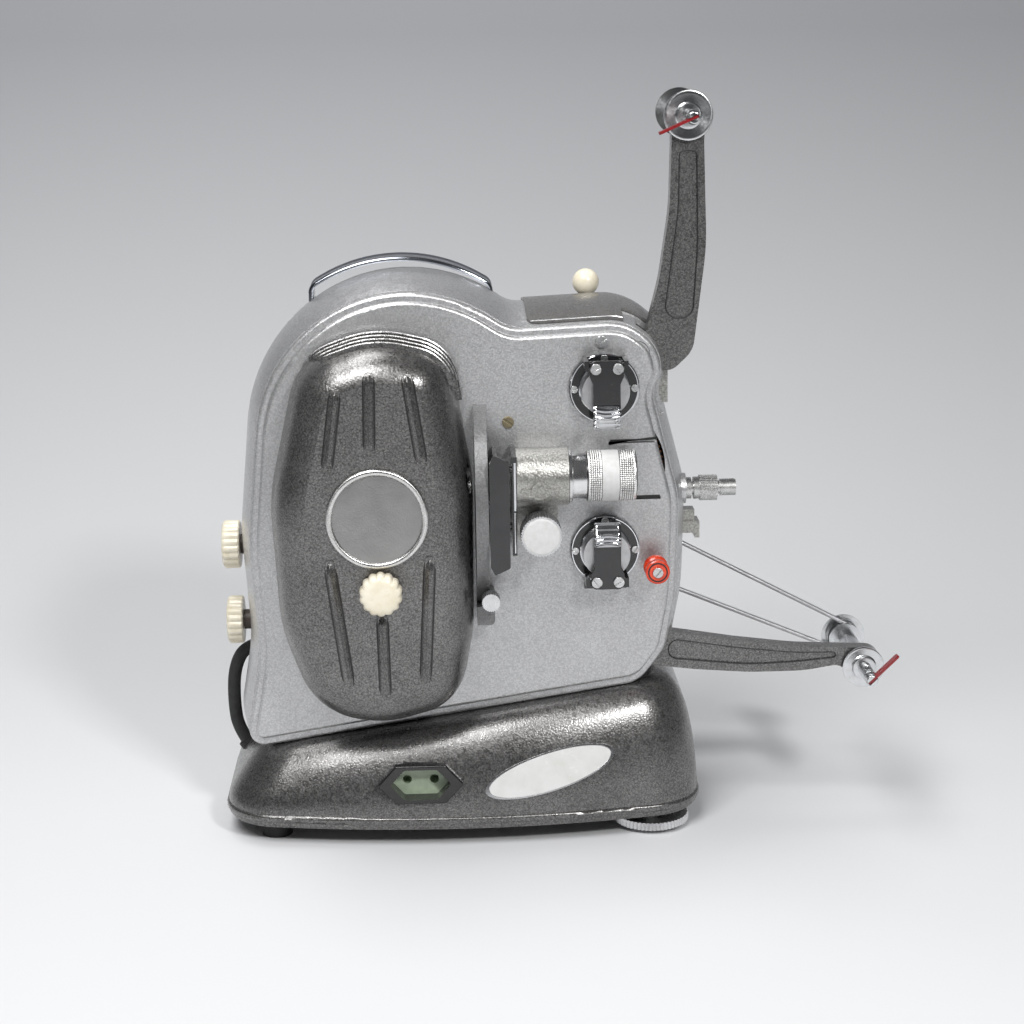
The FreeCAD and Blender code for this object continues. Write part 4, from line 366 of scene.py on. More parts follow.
def gloss_black(name):
    """Stoved black enamel with dust and fine wear that shows as grey."""
    roughness = 0.16
    f = Finish(name, (0.012, 0.012, 0.013), roughness)
    dust = f.span(f.noise(1.6 * MM, 6.0, roughness=0.7), 0.56, 0.78, 0.0, 0.35)
    f.set("Base Color", f.mix(dust, (0.011, 0.011, 0.012), (0.09, 0.09, 0.09)))
    f.set("Roughness", f.span(f.noise(9 * MM, 4.0), 0.35, 0.7, roughness - 0.05, roughness + 0.12))
    f.set("Normal", f.bump(f.noise(2.5 * MM, 2.0), 0.006 * MM))
    f.set("Coat Weight", 0.6)
    f.set("Coat Roughness", 0.08)
    return f.material


def clear_glass(name, color):
    roughness = 0.02
    f = Finish(name, color, roughness)
    f.set("Transmission Weight", 1.0)
    f.set("IOR", 1.5)
    f.set("Roughness", f.span(f.noise(7 * MM, 4.0), 0.4, 0.8, roughness, roughness + 0.05))
    return f.material


materials = {
    "case": hammered("silver_hammer_enamel", (0.42, 0.42, 0.425), (0.66, 0.66, 0.665), 1.3, 0.05, 0.36, 0.75),
    "cover": hammered("dark_hammer_enamel", (0.075, 0.072, 0.07), (0.29, 0.285, 0.28), 1.2, 0.045, 0.3, 0.8,
                      grime=0.3),
    "holder": hammered("holder_enamel", (0.26, 0.255, 0.235), (0.56, 0.555, 0.53), 1.3, 0.06, 0.34, 0.75),
    # Light silvery enamel painted as the highlights on the lips of the dark lamp cover
    "lip_highlight": hammered("cover_lip_enamel", (0.46, 0.455, 0.45), (0.80, 0.79, 0.78), 1.0, 0.02, 0.26, 0.9),
    # Near-black enamel painted as the shade along the feet of the lamp cover's ribs
    "painted_rib_shade": moulded("painted_rib_shade_enamel", (0.035, 0.033, 0.032), (0.018, 0.017, 0.017), 0.4, 1.0),
    "strap": polished("handle_plate", (0.40, 0.42, 0.46), 0.09),
    "pad": polished("pad_plate", (0.62, 0.63, 0.65), 0.1),
    # Near-black: the roller's real dark ring, and painted shade in the arms' panel lines and the slots beside
    # the lens
    "dark_line_and_shade": moulded("dark_line_and_painted_shade", (0.018, 0.018, 0.018), (0.01, 0.01, 0.01), 0.5, 2.0),
    "old_brass": brushed("old_brass", (0.36, 0.31, 0.2), 0.4, "X"),
    "lens_metal": turned("lens_metal", (0.80, 0.80, 0.80), 0.16, (0.0, lens_y, lens_z), "X"),
    "coupling": turned("coupling_metal", (0.62, 0.62, 0.61), 0.26, shaft_axis, "X"),
    "grey": hammered("grey_cover_enamel", (0.14, 0.14, 0.14), (0.24, 0.24, 0.245), 1.2, 0.03, 0.33, 0.35),
    "lid": hammered("lid_enamel", (0.12, 0.115, 0.11), (0.21, 0.205, 0.2), 1.6, 0.02, 0.3, 0.4),
    # Chrome, also used as the painted highlight along the lens holder's edge
    "chrome": polished("chrome_plate_and_highlight", (0.80, 0.81, 0.83), 0.07),
    "steel": brushed("machined_steel", (0.62, 0.62, 0.63), 0.3),
    # Bright steel of the screws, also used as the painted highlight along the lid's front edge
    "screw_and_highlight": brushed("screw_steel_and_highlight", (0.74, 0.74, 0.74), 0.24, "X"),
    "aluminium": brushed("turned_aluminium", (0.82, 0.82, 0.83), 0.27, "Z"),
    "black": gloss_black("black_gloss"),
    "bakelite": moulded("cream_bakelite", (0.86, 0.81, 0.68), (0.76, 0.69, 0.53), 0.3, 7.0, 0.25),
    "roller": moulded("red_roller", (0.78, 0.075, 0.018), (0.55, 0.03, 0.01), 0.25, 4.0, 0.4),
    "latch": moulded("red_enamel", (0.30, 0.013, 0.017), (0.17, 0.008, 0.01), 0.3, 2.0, 0.4, 0.02),
    "black_plastic": moulded("black_bakelite", (0.022, 0.021, 0.022), (0.012, 0.012, 0.012), 0.22, 6.0, 0.3),
    "green": moulded("green_insert", (0.53, 0.62, 0.46), (0.40, 0.49, 0.35), 0.42, 5.0),
    "rubber": moulded("black_rubber", (0.03, 0.03, 0.031), (0.018, 0.018, 0.018), 0.62, 4.0, 0.0, 0.04),
    "fibre": moulded("gear_fibre", (0.33, 0.15, 0.06), (0.18, 0.075, 0.03), 0.5, 1.5, 0.0, 0.05),
    "resin": moulded("control_resin", (0.075, 0.055, 0.045), (0.04, 0.03, 0.025), 0.45, 6.0),
    "motor": hammered("motor_enamel", (0.02, 0.028, 0.025), (0.06, 0.075, 0.07), 1.2, 0.03, 0.4, 0.2),
    "iron": hammered("lamination_steel", (0.06, 0.055, 0.05), (0.16, 0.15, 0.14), 0.8, 0.03, 0.5, 0.5),
    "bulb": clear_glass("bulb_glass", (0.98, 0.98, 0.96)),
    "lens": clear_glass("lens_glass", (0.90, 0.93, 0.98)),
}


def make_label_enamel():
    """White enamel of the oval name plate, left bare, with a bright metal edge."""
    f = Finish("white_enamel", (0.83, 0.83, 0.82), 0.22)
    shifted = f.vector("SUBTRACT", f.coords, (label_x * MM, 0.0, label_z * MM)).outputs[0]
    level = f.add("VectorRotate", {"Vector": shifted, "Angle": math.radians(label_tilt)},
                  rotation_type="Y_AXIS").outputs["Vector"]
    scaled = f.vector("MULTIPLY", level, (1 / (label_half_l * MM), 0.0, 1 / (label_half_h * MM))).outputs[0]
    reach = f.vector("LENGTH", scaled).outputs["Value"]
    rim = f.span(reach, 0.93, 0.945)
    age = f.span(f.noise(9 * MM, 5.0), 0.4, 0.75)
    white = f.mix(age, (0.70, 0.70, 0.69), (0.63, 0.625, 0.60))
    f.set("Base Color", f.mix(rim, white, (0.60, 0.60, 0.61)))
    f.set("Metallic", rim)
    f.set("Roughness", f.span(f.noise(5 * MM, 4.0), 0.3, 0.7, 0.16, 0.3))
    f.set("Coat Weight", 0.4)
    f.set("Normal", f.bump(rim, 0.25 * MM))
    return f.material


def make_badge_field():
    """The sunk, pebbled field of the badge, darkened by age."""
    f = Finish("badge_field", (0.3, 0.3, 0.3), 0.36, 0.9)
    pebbles = f.noise(0.9 * MM, 2.0)
    age = f.span(f.noise(12 * MM, 4.0), 0.35, 0.7)
    f.set("Base Color", f.mix(age, (0.32, 0.318, 0.315), (0.37, 0.368, 0.362)))
    f.set("Roughness", f.span(pebbles, 0.3, 0.7, 0.3, 0.45))
    f.set("Normal", f.bump(pebbles, 0.16 * MM))
    return f.material


def make_knurled():
    """Bright aluminium, darker towards the bottoms of the grooves of its knurl."""
    f = Finish("knurled_aluminium", (0.86, 0.86, 0.86), 0.3, 0.9)
    radius = f.around((0.0, lens_y * MM, lens_z * MM), "X")
    tooth_top = f.span(radius, (focus_r - 0.36) * MM, (focus_r - 0.06) * MM)
    # Darker towards the bottom of each knurl groove
    f.set("Base Color", f.mix(tooth_top, (0.10, 0.095, 0.085), (0.88, 0.88, 0.87)))
    f.set("Roughness", f.span(f.noise(1.5 * MM, 3.0), 0.3, 0.7, 0.22, 0.4))
    return f.material


materials["label"] = make_label_enamel()
materials["badge_field"] = make_badge_field()
materials["knurled"] = make_knurled()
materials["badge_ring"] = turned("badge_ring", (0.78, 0.775, 0.76), 0.26, badge_place, "Y")
materials["satin_white"] = moulded("satin_white", (0.66, 0.66, 0.655), (0.58, 0.58, 0.57), 0.5, 3.0,
                                   depth=0.006)
for spindle, (x, z) in (("upper_spindle", upper_spool), ("lower_spindle", lower_spool)):
    materials[spindle] = turned(spindle + "_metal", (0.76, 0.77, 0.78), 0.2, (x, 0.0, z), "Y")

node_finish = {
    "case": ["body_shell", "front_plate", "back_cover"],
    "cover": ["lamp_cover", "base_shell", "base_plate", "upper_arm", "lower_arm"],
    "holder": ["lens_holder", "side_brackets"],
    "grey": ["shutter_cover"],
    "lid": ["top_lid"],
    "strap": ["handle"],
    "coupling": ["shaft_coupling"],
    "lens_metal": ["lens_tube"],
    "steel": ["film_claw", "upper_sprocket", "lower_sprocket", "main_shaft", "motor_rotor", "take_up_pulley",
              "lamp_bracket", "spring_belt"],
    "screw_and_highlight": ["case_screws", "face_screws"],
    "aluminium": ["badge", "catch_knob", "focus_ring", "gate_knob", "foot_wheel"],
    "upper_spindle": ["upper_spindle"],
    "lower_spindle": ["lower_spindle"],
    "black": ["aperture_plate", "pressure_plate", "sprocket_flanges", "upper_shoe", "lower_shoe", "shutter"],
    "bakelite": ["lamp_knob", "lid_knob", "speed_knob", "switch_knob"],
    "roller": ["film_roller"],
    "latch": ["upper_latch", "lower_latch"],
    "black_plastic": ["outlet_bezel"],
    "green": ["outlet_insert"],
    "rubber": ["rubber_feet", "foot_pad", "motor_belt", "cable_grommets", "link_cable"],
    "fibre": ["idler_gear"],
    "resin": ["controls"],
    "motor": ["motor"],
    "iron": ["transformer"],
    "bulb": ["lamp"],
    "lens": ["condenser", "lens_glass"],
    "label": ["name_plate"],
}


def paint_nodes():
    for finish, names in node_finish.items():
        for name in names:
            for material_slot in nodes[name].material_slots:
                material_slot.material = materials[finish]


directions = {"X": Vector((1, 0, 0)), "-X": Vector((-1, 0, 0)),
              "Y": Vector((0, 1, 0)), "-Y": Vector((0, -1, 0))}


def square_to(direction):
    """Two unit vectors at right angles to a direction and to each other."""
    side = Vector((0, 0, 1)) if abs(direction.z) < 0.5 else Vector((1, 0, 0))
    side = (side - direction * side.dot(direction)).normalized()
    return side, direction.cross(side)


def angles(count):
    """Angles of points spaced evenly round a circle."""
    return [2 * math.pi * i / count for i in range(count)]


class Shape:
    """Points in millimetres and the faces on them, gathered before they become a piece."""

    def __init__(self):
        self.points = []
        self.faces = []

    def add_rings(self, rings, closed=False):
        """Joins rings of points, each next to the one before; a ring of one point is a pole."""
        numbered = []
        for ring in rings:
            numbered.append(range(len(self.points), len(self.points) + len(ring)))
            self.points.extend(ring)
        pairs = list(zip(numbered, numbered[1:]))
        if closed:
            pairs.append((numbered[-1], numbered[0]))
        for first, second in pairs:
            count = max(len(first), len(second))
            for i in range(count):
                j = (i + 1) % count
                near = [first[i % len(first)], first[j % len(first)]]
                far = [second[j % len(second)], second[i % len(second)]]
                self.faces.append(tuple(dict.fromkeys(near + far)))

    def add_lathe(self, profile, centre, direction, segments=72, ripple=None, closed=False):
        """A profile of (distance along the axis, radius) turned about an axis. ripple changes the radius."""
        along = directions[direction]
        side, up = square_to(along)
        rings = []
        for distance, radius in profile:
            foot = Vector(centre) + along * distance
            if radius == 0:
                rings.append([foot])
                continue
            ring = []
            for a in angles(segments):
                r = radius + (ripple(a, distance, radius) if ripple else 0.0)
                ring.append(foot + (side * math.cos(a) + up * math.sin(a)) * r)
            rings.append(ring)
        self.add_rings(rings, closed)

    def add_rod(self, radius, start, stop, centre, direction, segments):
        """A plain rod along an axis, from start to stop."""
        self.add_lathe([(start, 0), (start, radius), (stop, radius), (stop, 0)], centre, direction, segments)

    def add_plate(self, outline, y0, y1, place=lambda x, y, z: (x, y, z)):
        """A flat plate with the given (x, z) outline, between y0 at its front and y1 at its back."""
        start = len(self.points)
        count = len(outline)
        self.add_rings([[Vector(place(x, y, z)) for x, z in outline] for y in (y0, y1)])
        self.faces.append(tuple(reversed(range(start, start + count))))
        self.faces.append(tuple(range(start + count, start + 2 * count)))

    def add_tube(self, path, radius, segments=10, closed=False):
        """A round tube along a path in a plane of constant Y. radius is one value, or one for each point."""
        radii = radius if isinstance(radius, list) else [radius] * len(path)
        rings = []
        last = len(path) - 1
        for i, point in enumerate(path):
            before = path[i - 1] if i or closed else path[0]
            after = path[(i + 1) % len(path)] if i < last or closed else path[last]
            run = (Vector(after) - Vector(before)).normalized()
            side = run.cross(Vector((0, 1, 0))).normalized()
            up = run.cross(side)
            ring = []
            for a in angles(segments):
                ring.append(Vector(point) + (side * math.cos(a) + up * math.sin(a)) * radii[i])
            rings.append(ring)
        if not closed:
            rings = [[Vector(path[0])]] + rings + [[Vector(path[last])]]
        self.add_rings(rings, closed)


def make_piece(name, shape, finish, body, stands_for=(), bevel=0.0, smooth=35):
    """Makes a piece with its material and lets it ride on a body. bevel is in millimetres."""
    mesh = bpy.data.meshes.new(name)
    mesh.from_pydata([Vector(p) * MM for p in shape.points], [], shape.faces)
    work = bmesh.new()
    work.from_mesh(mesh)
    bmesh.ops.recalc_face_normals(work, faces=work.faces)
    work.to_mesh(mesh)
    work.free()
    mesh.polygons.foreach_set("use_smooth", [True] * len(mesh.polygons))
    mesh.set_sharp_from_angle(angle=math.radians(smooth))
    mesh.materials.append(materials[finish])
    piece = link(bpy.data.objects.new(name, mesh))
    if bevel:
        modifier = piece.modifiers.new("soft_edges", "BEVEL")
        modifier.width = bevel * MM
        modifier.segments = 3
        modifier.limit_method = "ANGLE"
    if stands_for:
        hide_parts(*stands_for)
    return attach(piece, body)


def rounded(corners, steps=6):
    """Points of a closed (x, z, radius) outline with its corners rounded."""
    points = []
    for i, (px, pz, radius) in enumerate(corners):
        p = Vector((px, pz))
        if radius == 0:
            points.append(tuple(p))
            continue
        before = (Vector(corners[i - 1][:2]) - p).normalized()
        after = (Vector(corners[(i + 1) % len(corners)][:2]) - p).normalized()
        half = before.angle(after) / 2
        middle = p + (before + after).normalized() * radius / math.sin(half)
        start = p + before * radius / math.tan(half)
        stop = p + after * radius / math.tan(half)
        a0 = math.atan2(start.y - middle.y, start.x - middle.x)
        a1 = math.atan2(stop.y - middle.y, stop.x - middle.x)
        turn = (a1 - a0 + math.pi) % (2 * math.pi) - math.pi
        for k in range(steps + 1):
            a = a0 + turn * k / steps
            points.append((middle.x + radius * math.cos(a), middle.y + radius * math.sin(a)))
    return points


def add_slotted_head(shape, x, z, face_y, radius, height, slot_angle, place=lambda x, y, z: (x, y, z)):
    """A screw head: a thin base and two halves that leave a slot between them."""
    slot_half = radius * 0.17
    base = [(x + radius * math.cos(a), z + radius * math.sin(a)) for a in angles(32)]
    shape.add_plate(base, face_y - height * 0.45, face_y + 0.2, place)
    opening = math.asin(slot_half / radius)
    for side in (0, math.pi):
        half = []
        for i in range(17):
            a = side + opening + (math.pi - 2 * opening) * i / 16 + slot_angle
            half.append((x + radius * math.cos(a), z + radius * math.sin(a)))
        shape.add_plate(half, face_y - height, face_y - height * 0.4, place)


def fading_lobes(count, depth, radius, fade):
    """Lobes that fade out where the radius is less than the knob's by more than fade."""
    def ripple(a, distance, r):
        share = max(0.0, 1 - (radius - r) / fade)
        return -depth * share * (1 - abs(math.cos(count * a / 2)))
    return ripple


def make_badge():
    """The round badge on the lamp cover, with its bright ring; its field is left bare."""
    field = Shape()
    field.add_lathe([(0.0, 0), (0.0, 25.6), (1.5, 25.6), (1.7, 22.0), (1.85, 12.0), (1.9, 0)],
                    badge_place, "-Y", 96)
    make_piece("badge_field", field, "badge_field", "lamp_cover_body", ["badge"])
    r, bore = badge_r, badge_bore_r
    ring = Shape()
    ring.add_lathe([(0.0, bore), (0.0, r), (2.0, r), (2.7, r - 0.5), (3.0, r - 1.1), (3.05, r - 1.9),
                    (2.9, r - 2.7), (2.4, bore + 0.3), (1.6, bore)], badge_place, "-Y", 128, closed=True)
    make_piece("badge_ring", ring, "badge_ring", "lamp_cover_body")


def make_lamp_knob():
    """The cream knob that holds the lamp cover, with scalloped sides and a crowned face."""
    r = lamp_knob_r
    knob = Shape()
    knob.add_lathe([(0.0, 0), (0.0, 7.5), (2.8, 7.5), (2.8, r - 1.6), (3.4, r - 0.6), (4.4, r),
                    (11.2, r - 0.25), (12.9, r - 1.0), (14.0, r - 2.4), (14.6, r - 4.6), (14.8, 4.0),
                    (14.85, 0)], lamp_knob_seat, "-Y", 196, fading_lobes(14, 1.15, r, 2.6))
    make_piece("lamp_knob_head", knob, "bakelite", "lamp_knob_body", ["lamp_knob"])
    screw_and_highlight = Shape()
    screw_and_highlight.add_rod(lamp_screw_r, 0.0, lamp_screw_length, lamp_knob_seat, "Y", 24)
    make_piece("lamp_knob_screw", screw_and_highlight, "steel", "lamp_knob_body")


def make_rear_knob(node, face_x, z):
    """A cream control knob at the back of the case: fluted sides, a rounded face and its shaft."""
    r = control_knob_r
    depth = control_knob_back_x - face_x
    knob = Shape()
    knob.add_lathe([(0.0, 0), (0.0, r - 1.2), (0.7, r - 0.3), (depth - 2.2, r - 0.1), (depth - 0.9, r - 0.8),
                    (depth - 0.2, r - 2.0), (depth, r - 3.6), (depth - 0.5, 6.0), (depth - 0.5, 0)],
                   (control_knob_back_x, 0.0, z), "-X", 200, fading_lobes(20, 1.0, r, 2.4))
    make_piece(node + "_head", knob, "bakelite", node + "_body", [node])
    shaft = Shape()
    shaft.add_rod(control_shaft_r, 0.0, control_shaft_length, (control_knob_back_x - 0.2, 0.0, z), "X", 24)
    make_piece(node + "_head_shaft", shaft, "steel", node + "_body")


def make_gate_knob_face():
    """The pale satin face of the gate knob, left bare."""
    face = Shape()
    face.add_lathe([(0.0, 0), (0.0, 10.6), (0.8, 10.5), (1.2, 10.0), (1.35, 9.0), (1.4, 0)],
                   gate_knob_face, "-Y", 64)
    make_piece("gate_knob_face", face, "satin_white", "gate_knob_body")


def knurl(position):
    """Depth of a groove, from 0 on a tooth's flat to 1 at the bottom. position counts teeth."""
    share = position % 1.0
    return max(0.0, 1 - min(share, 1 - share) / 0.24)


def make_focus_ring():
    """The knurled barrel of the lens with its pale band, left bare."""
    r = focus_r
    teeth_round = round(2 * math.pi * r / knurl_pitch)
    steps_per_tooth = 4
    centre = (focus_x0, lens_y, lens_z)

    def band_teeth(start, stop):
        return round((stop - start) / knurl_pitch)

    def band_profile(start, stop):
        steps = band_teeth(start, stop) * steps_per_tooth
        return [(start + (stop - start) * i / steps, r) for i in range(steps + 1)]

    def ripple(a, distance, radius):
        for start, stop in knurl_bands:
            if start < distance < stop:
                across = knurl(a * teeth_round / (2 * math.pi) + 0.5)
                along = knurl((distance - start) * band_teeth(start, stop) / (stop - start))
                return -knurl_depth * max(across, along)
        return 0.0

    seat_r = r - 0.35
    profile = [(0.0, 11.1), (0.0, r - 0.6), (0.45, r - 0.1)]
    profile += band_profile(*knurl_bands[0])
    profile += [(8.1, seat_r), (9.0, seat_r), (17.0, seat_r), (18.1, seat_r)]
    profile += band_profile(*knurl_bands[1])
    profile += [(27.3, r - 0.1), (27.8, r - 0.6), (28.0, r - 1.2), (28.0, 12.6), (25.2, 12.2), (25.0, 11.1)]
    barrel = Shape()
    barrel.add_lathe(profile, centre, "X", teeth_round * steps_per_tooth, ripple, closed=True)
    make_piece("focus_barrel", barrel, "knurled", "focus_body", ["focus_ring"], smooth=60)
    band = Shape()
    band.add_lathe([(8.3, r - 0.4), (8.3, r - 0.2), (8.7, r - 0.12), (17.5, r - 0.12), (17.9, r - 0.2),
                    (17.9, r - 0.4)], centre, "X", 128)
    make_piece("focus_band", band, "satin_white", "focus_body")


def grid_faces(rows, columns):
    """Four-sided faces between the points of a grid that are numbered row by row."""
    faces = []
    for row in range(rows - 1):
        for column in range(columns - 1):
            i = row * columns + column
            faces.append((i, i + 1, i + columns + 1, i + columns))
    return faces


def thumb_pad(place):
    """The chrome pad of a film shoe, curved back at its end, with three bowed ridges."""
    across, down = 25, 49
    front, back = [], []
    for row in range(down):
        v = row / (down - 1)
        crown = pad_crown * math.sin(math.pi * min(1.0, v * 1.15 + 0.12)) ** 0.8 if v < 0.99 else 0.0
        curl = pad_curl * max(0.0, (v - 0.72) / 0.28) ** 2
        half_width = shoe_waist_half - 0.6 * max(0.0, (v - 0.8) / 0.2) ** 2
        z = pad_start - pad_length * v
        for column in range(across):
            u = 2 * column / (across - 1) - 1
            bow = v - 0.1 * (1 - u * u)
            wave = math.sin(math.pi * ridge_count * bow / 0.5) ** 2 if 0.0 < bow < 0.5 else 0.0
            edge = 0.9 * max(0.0, abs(u) - 0.86) / 0.14
            y = pad_y - crown + curl - ridge_height * wave + edge
            front.append(Vector(place(u * half_width, y, z)))
            back.append(Vector(place(u * half_width, min(y + pad_thick, pad_y + 2.0), z)))
    shape = Shape()
    shape.points = front + back
    offset = across * down
    for a, b, c, d in grid_faces(down, across):
        shape.faces.append((a, b, c, d))
        shape.faces.append((offset + a, offset + d, offset + c, offset + b))
    border = [(row * across, (row + 1) * across) for row in range(down - 1)]
    border += [((row + 1) * across - 1, (row + 2) * across - 1) for row in range(down - 1)]
    border += [(column, column + 1) for column in range(across - 1)]
    border += [(offset - across + column, offset - across + column + 1) for column in range(across - 1)]
    for i, j in border:
        shape.faces.append((i, j, offset + j, offset + i))
    return shape


def make_shoe(node, middle_z, side):
    """A film shoe: black plate on its hinge, two bright screws and the chrome thumb pad."""
    def place(x, y, z):
        return (sprocket_x + side * x, y, middle_z + side * z)

    def barrel_ring(x):
        ring = []
        for a in angles(24):
            y = shoe_hinge_y + shoe_barrel_r * math.cos(a)
            ring.append(Vector(place(x, y, shoe_hinge_z + shoe_barrel_r * math.sin(a))))
        return ring

    half, waist = shoe_half, shoe_waist_half
    outline = rounded([(-half, 18.8, 3.4), (half, 18.8, 3.4), (half, 9.5, 2.0), (waist, 5.5, 3.0),
                       (waist, -8.5, 0.6), (-waist, -8.5, 0.6), (-waist, 5.5, 3.0), (-half, 9.5, 2.0)])
    plate = Shape()
    plate.add_plate(outline, shoe_face_y, shoe_back_y, place)
    first, last = (Vector(place(x, shoe_hinge_y, shoe_hinge_z)) for x in (-half, half))
    plate.add_rings([[first], barrel_ring(-half), barrel_ring(half), [last]])
    low, high = shoe_hinge_z - 1.4, shoe_hinge_z + 1.4
    neck = [(-half, low), (half, low), (half, high), (-half, high)]
    plate.add_plate(neck, shoe_back_y - 0.4, shoe_hinge_y + 0.4, place)
    body = node + "_body"
    make_piece(node + "_plate", plate, "black", body, [node], bevel=0.35)
    make_piece(node + "_pad", thumb_pad(place), "pad", body, smooth=50)
    screws = Shape()
    for x, angle in ((-shoe_screw_x, 0.5), (shoe_screw_x, -0.9)):
        add_slotted_head(screws, x, shoe_screw_z, shoe_face_y, shoe_screw_r, 1.7, angle, place)
    make_piece(node + "_screws", screws, "screw_and_highlight", body, bevel=0.22)


def make_flange_trim(end, middle_z):
    """The bright edge of a sprocket's black flange and the chrome ring round the sprocket."""
    trim = Shape()
    centre = (sprocket_x, plate_face_y, middle_z)
    trim.add_lathe([(2.0, 19.7), (2.0, 20.12), (2.5, 20.1), (3.12, 19.5), (3.12, 19.0), (2.9, 19.0)],
                   centre, "-Y", 128, closed=True)
    make_piece(end + "_flange_edge", trim, "chrome", "frame")
    ring = Shape()
    ring.add_lathe([(2.9, 13.2), (2.9, 14.8), (3.5, 14.7), (3.8, 14.2), (3.5, 13.4)],
                   centre, "-Y", 96, closed=True)
    make_piece(end + "_flange_ring", ring, "chrome", "frame")


def make_handle():
    """The chrome carrying handle: a crowned strap with rolled edges."""
    path = rounded(handle_line, 20)
    rings = []
    for i, (x, z) in enumerate(path):
        before = Vector(path[max(i - 1, 0)])
        after = Vector(path[min(i + 1, len(path) - 1)])
        run = (after - before).normalized()
        out = Vector((-run.y, run.x))
        ring = []
        for y, lift in handle_section:
            p = Vector((x, z)) + out * lift
            ring.append(Vector((p.x, y, p.y)))
        rings.append(ring)
    shape = Shape()
    shape.add_rings(rings)
    count = len(handle_section)
    shape.faces.append(tuple(range(count)))
    shape.faces.append(tuple(len(shape.points) - 1 - i for i in range(count)))
    make_piece("handle_strap", shape, "strap", "handle_body", ["handle"], smooth=50)


def surface_of(name):
    return BVHTree.FromObject(nodes[name], bpy.context.evaluated_depsgraph_get())


def rib_shape(surface, x0, z0, x1, z1, half_width, height):
    """A pressed rib with a crest, laid on a surface from its lower to its upper end, its sides sunk in."""
    start, stop = Vector((x0, z0)), Vector((x1, z1))
    run = (stop - start).normalized()
    side = Vector((run.y, -run.x))
    steps, across = 44, 12
    sink = 0.45
    shape = Shape()
    for i in range(steps + 1):
        t = i / steps
        taper = min(1.0, math.sin(math.pi * t) * 3.2)
        for k in range(across + 1):
            s = 2 * k / across - 1
            flat = start.lerp(stop, t) + side * s * half_width * (0.35 + 0.65 * taper)
            hit = surface.ray_cast(Vector((flat.x, -200.0, flat.y)) * MM, Vector((0, 1, 0)))[0]
            crest = (1 - abs(s)) ** 1.25 * height * taper
            rise = crest + sink * min(1.0, (1 - abs(s)) * 4) * taper
            shape.points.append(Vector((flat.x, hit.y / MM + sink - rise, flat.y)))
    shape.faces = grid_faces(steps + 1, across + 1)
    return shape


def make_ribs():
    """The ribs pressed into the lamp cover, each with a dark strip of painted shade along its foot."""
    surface = surface_of("lamp_cover")
    for number, ends in enumerate(lamp_ribs, 1):
        # The first piece is a dark strip of painted shade beside the rib, the second is the rib itself
        for kind, finish, half_width, height in (("painted_rib_shade", "painted_rib_shade", 4.6, 0.8), ("rib", "cover", 3.4, 2.5)):
            rib = rib_shape(surface, *ends, half_width, height)
            make_piece("lamp_%s_%d" % (kind, number), rib, finish, "lamp_cover_body",
                       smooth=60)


def belt_line(first, first_r, second, second_r, y, spacing):
    """Points, evenly spaced, of a belt round two pulleys in a plane of constant Y."""
    a, b = Vector(first), Vector(second)
    run = (b - a).normalized()
    lean = math.acos((first_r - second_r) / (b - a).length)
    heading = math.atan2(run.y, run.x)
    turns = [(a, first_r, heading + lean, 2 * math.pi - 2 * lean),
             (b, second_r, heading - lean, 2 * lean)]
    corners = []
    for middle, radius, start, sweep in turns:
        steps = max(8, int(radius * sweep / spacing))
        for i in range(steps + 1):
            angle = start + sweep * i / steps
            corners.append(middle + Vector((math.cos(angle), math.sin(angle))) * radius)
    corners.append(corners[0])
    points, left = [], 0.0
    for p, q in zip(corners, corners[1:]):
        length = (q - p).length
        while left < length:
            r = p.lerp(q, left / length)
            points.append((r.x, y, r.y))
            left += spacing
        left -= length
    return points


def make_spring_belt():
    """The take-up belt, a close-wound wire spring."""
    path = belt_line(take_up, drive_belt_r, lower_spool, spool_belt_r, belt_y, belt_wire / 3)
    radii = [belt_r - 0.22 * (1 - math.cos(2 * math.pi * i / 3)) / 1.5 for i in range(len(path))]
    shape = Shape()
    shape.add_tube(path, radii, closed=True)
    make_piece("spring_belt_wire", shape, "steel", "lower_arm_body", ["spring_belt"], smooth=80)


def make_lid_edge_highlight():
    """A painted highlight: a bright steel line along the front edge of the top lid."""
    surface = surface_of("top_lid")
    steps = 59
    path = []
    for i in range(steps + 1):
        x = lid_edge_start + (lid_edge_end - lid_edge_start) * i / steps
        hit = surface.ray_cast(Vector((x, -38.0, 400.0)) * MM, Vector((0, 0, -1)))[0]
        if hit:
            path.append((x, lid_edge_y, hit.z / MM - 0.35))
    shape = Shape()
    shape.add_tube(path, 0.38, 8)
    # A bright steel tube painted as the highlight along the lid's front edge
    make_piece("lid_edge_highlight", shape, "screw_and_highlight", "lid_body")


def make_screws():
    """The slotted screws of the front plate, the sprocket flanges, the film guide and the roller."""
    bright = Shape()
    for x, z, seat, radius, angle in flange_screws + plate_screws + [roller_screw]:
        add_slotted_head(bright, x, z, seat, radius, screw_head, angle)
        bright.add_rod(screw_pin_r, -0.2, screw_pin_length, (x, seat, z), "Y", 16)
    make_piece("front_screws", bright, "screw_and_highlight", "frame", ["face_screws"], bevel=0.16)
    x, z, seat, radius, angle = guide_screw
    old = Shape()
    add_slotted_head(old, x, z, seat, radius, 1.2, angle)
    make_piece("film_guide_screw", old, "old_brass", "frame", bevel=0.2)


def outline_at(corners, grow, y, steps=8):
    """Points of a rounded outline in X and Z, moved outwards by grow, at one depth."""
    flat = [Vector(p) for p in rounded(corners, steps)]
    area = sum(a.x * b.y - b.x * a.y for a, b in zip(flat, flat[1:] + flat[:1]))
    turn = 1 if area > 0 else -1
    points = []
    for i, p in enumerate(flat):
        run = (flat[(i + 1) % len(flat)] - flat[i - 1]).normalized()
        points.append(Vector((p.x + run.y * grow * turn, y, p.y - run.x * grow * turn)))
    return points


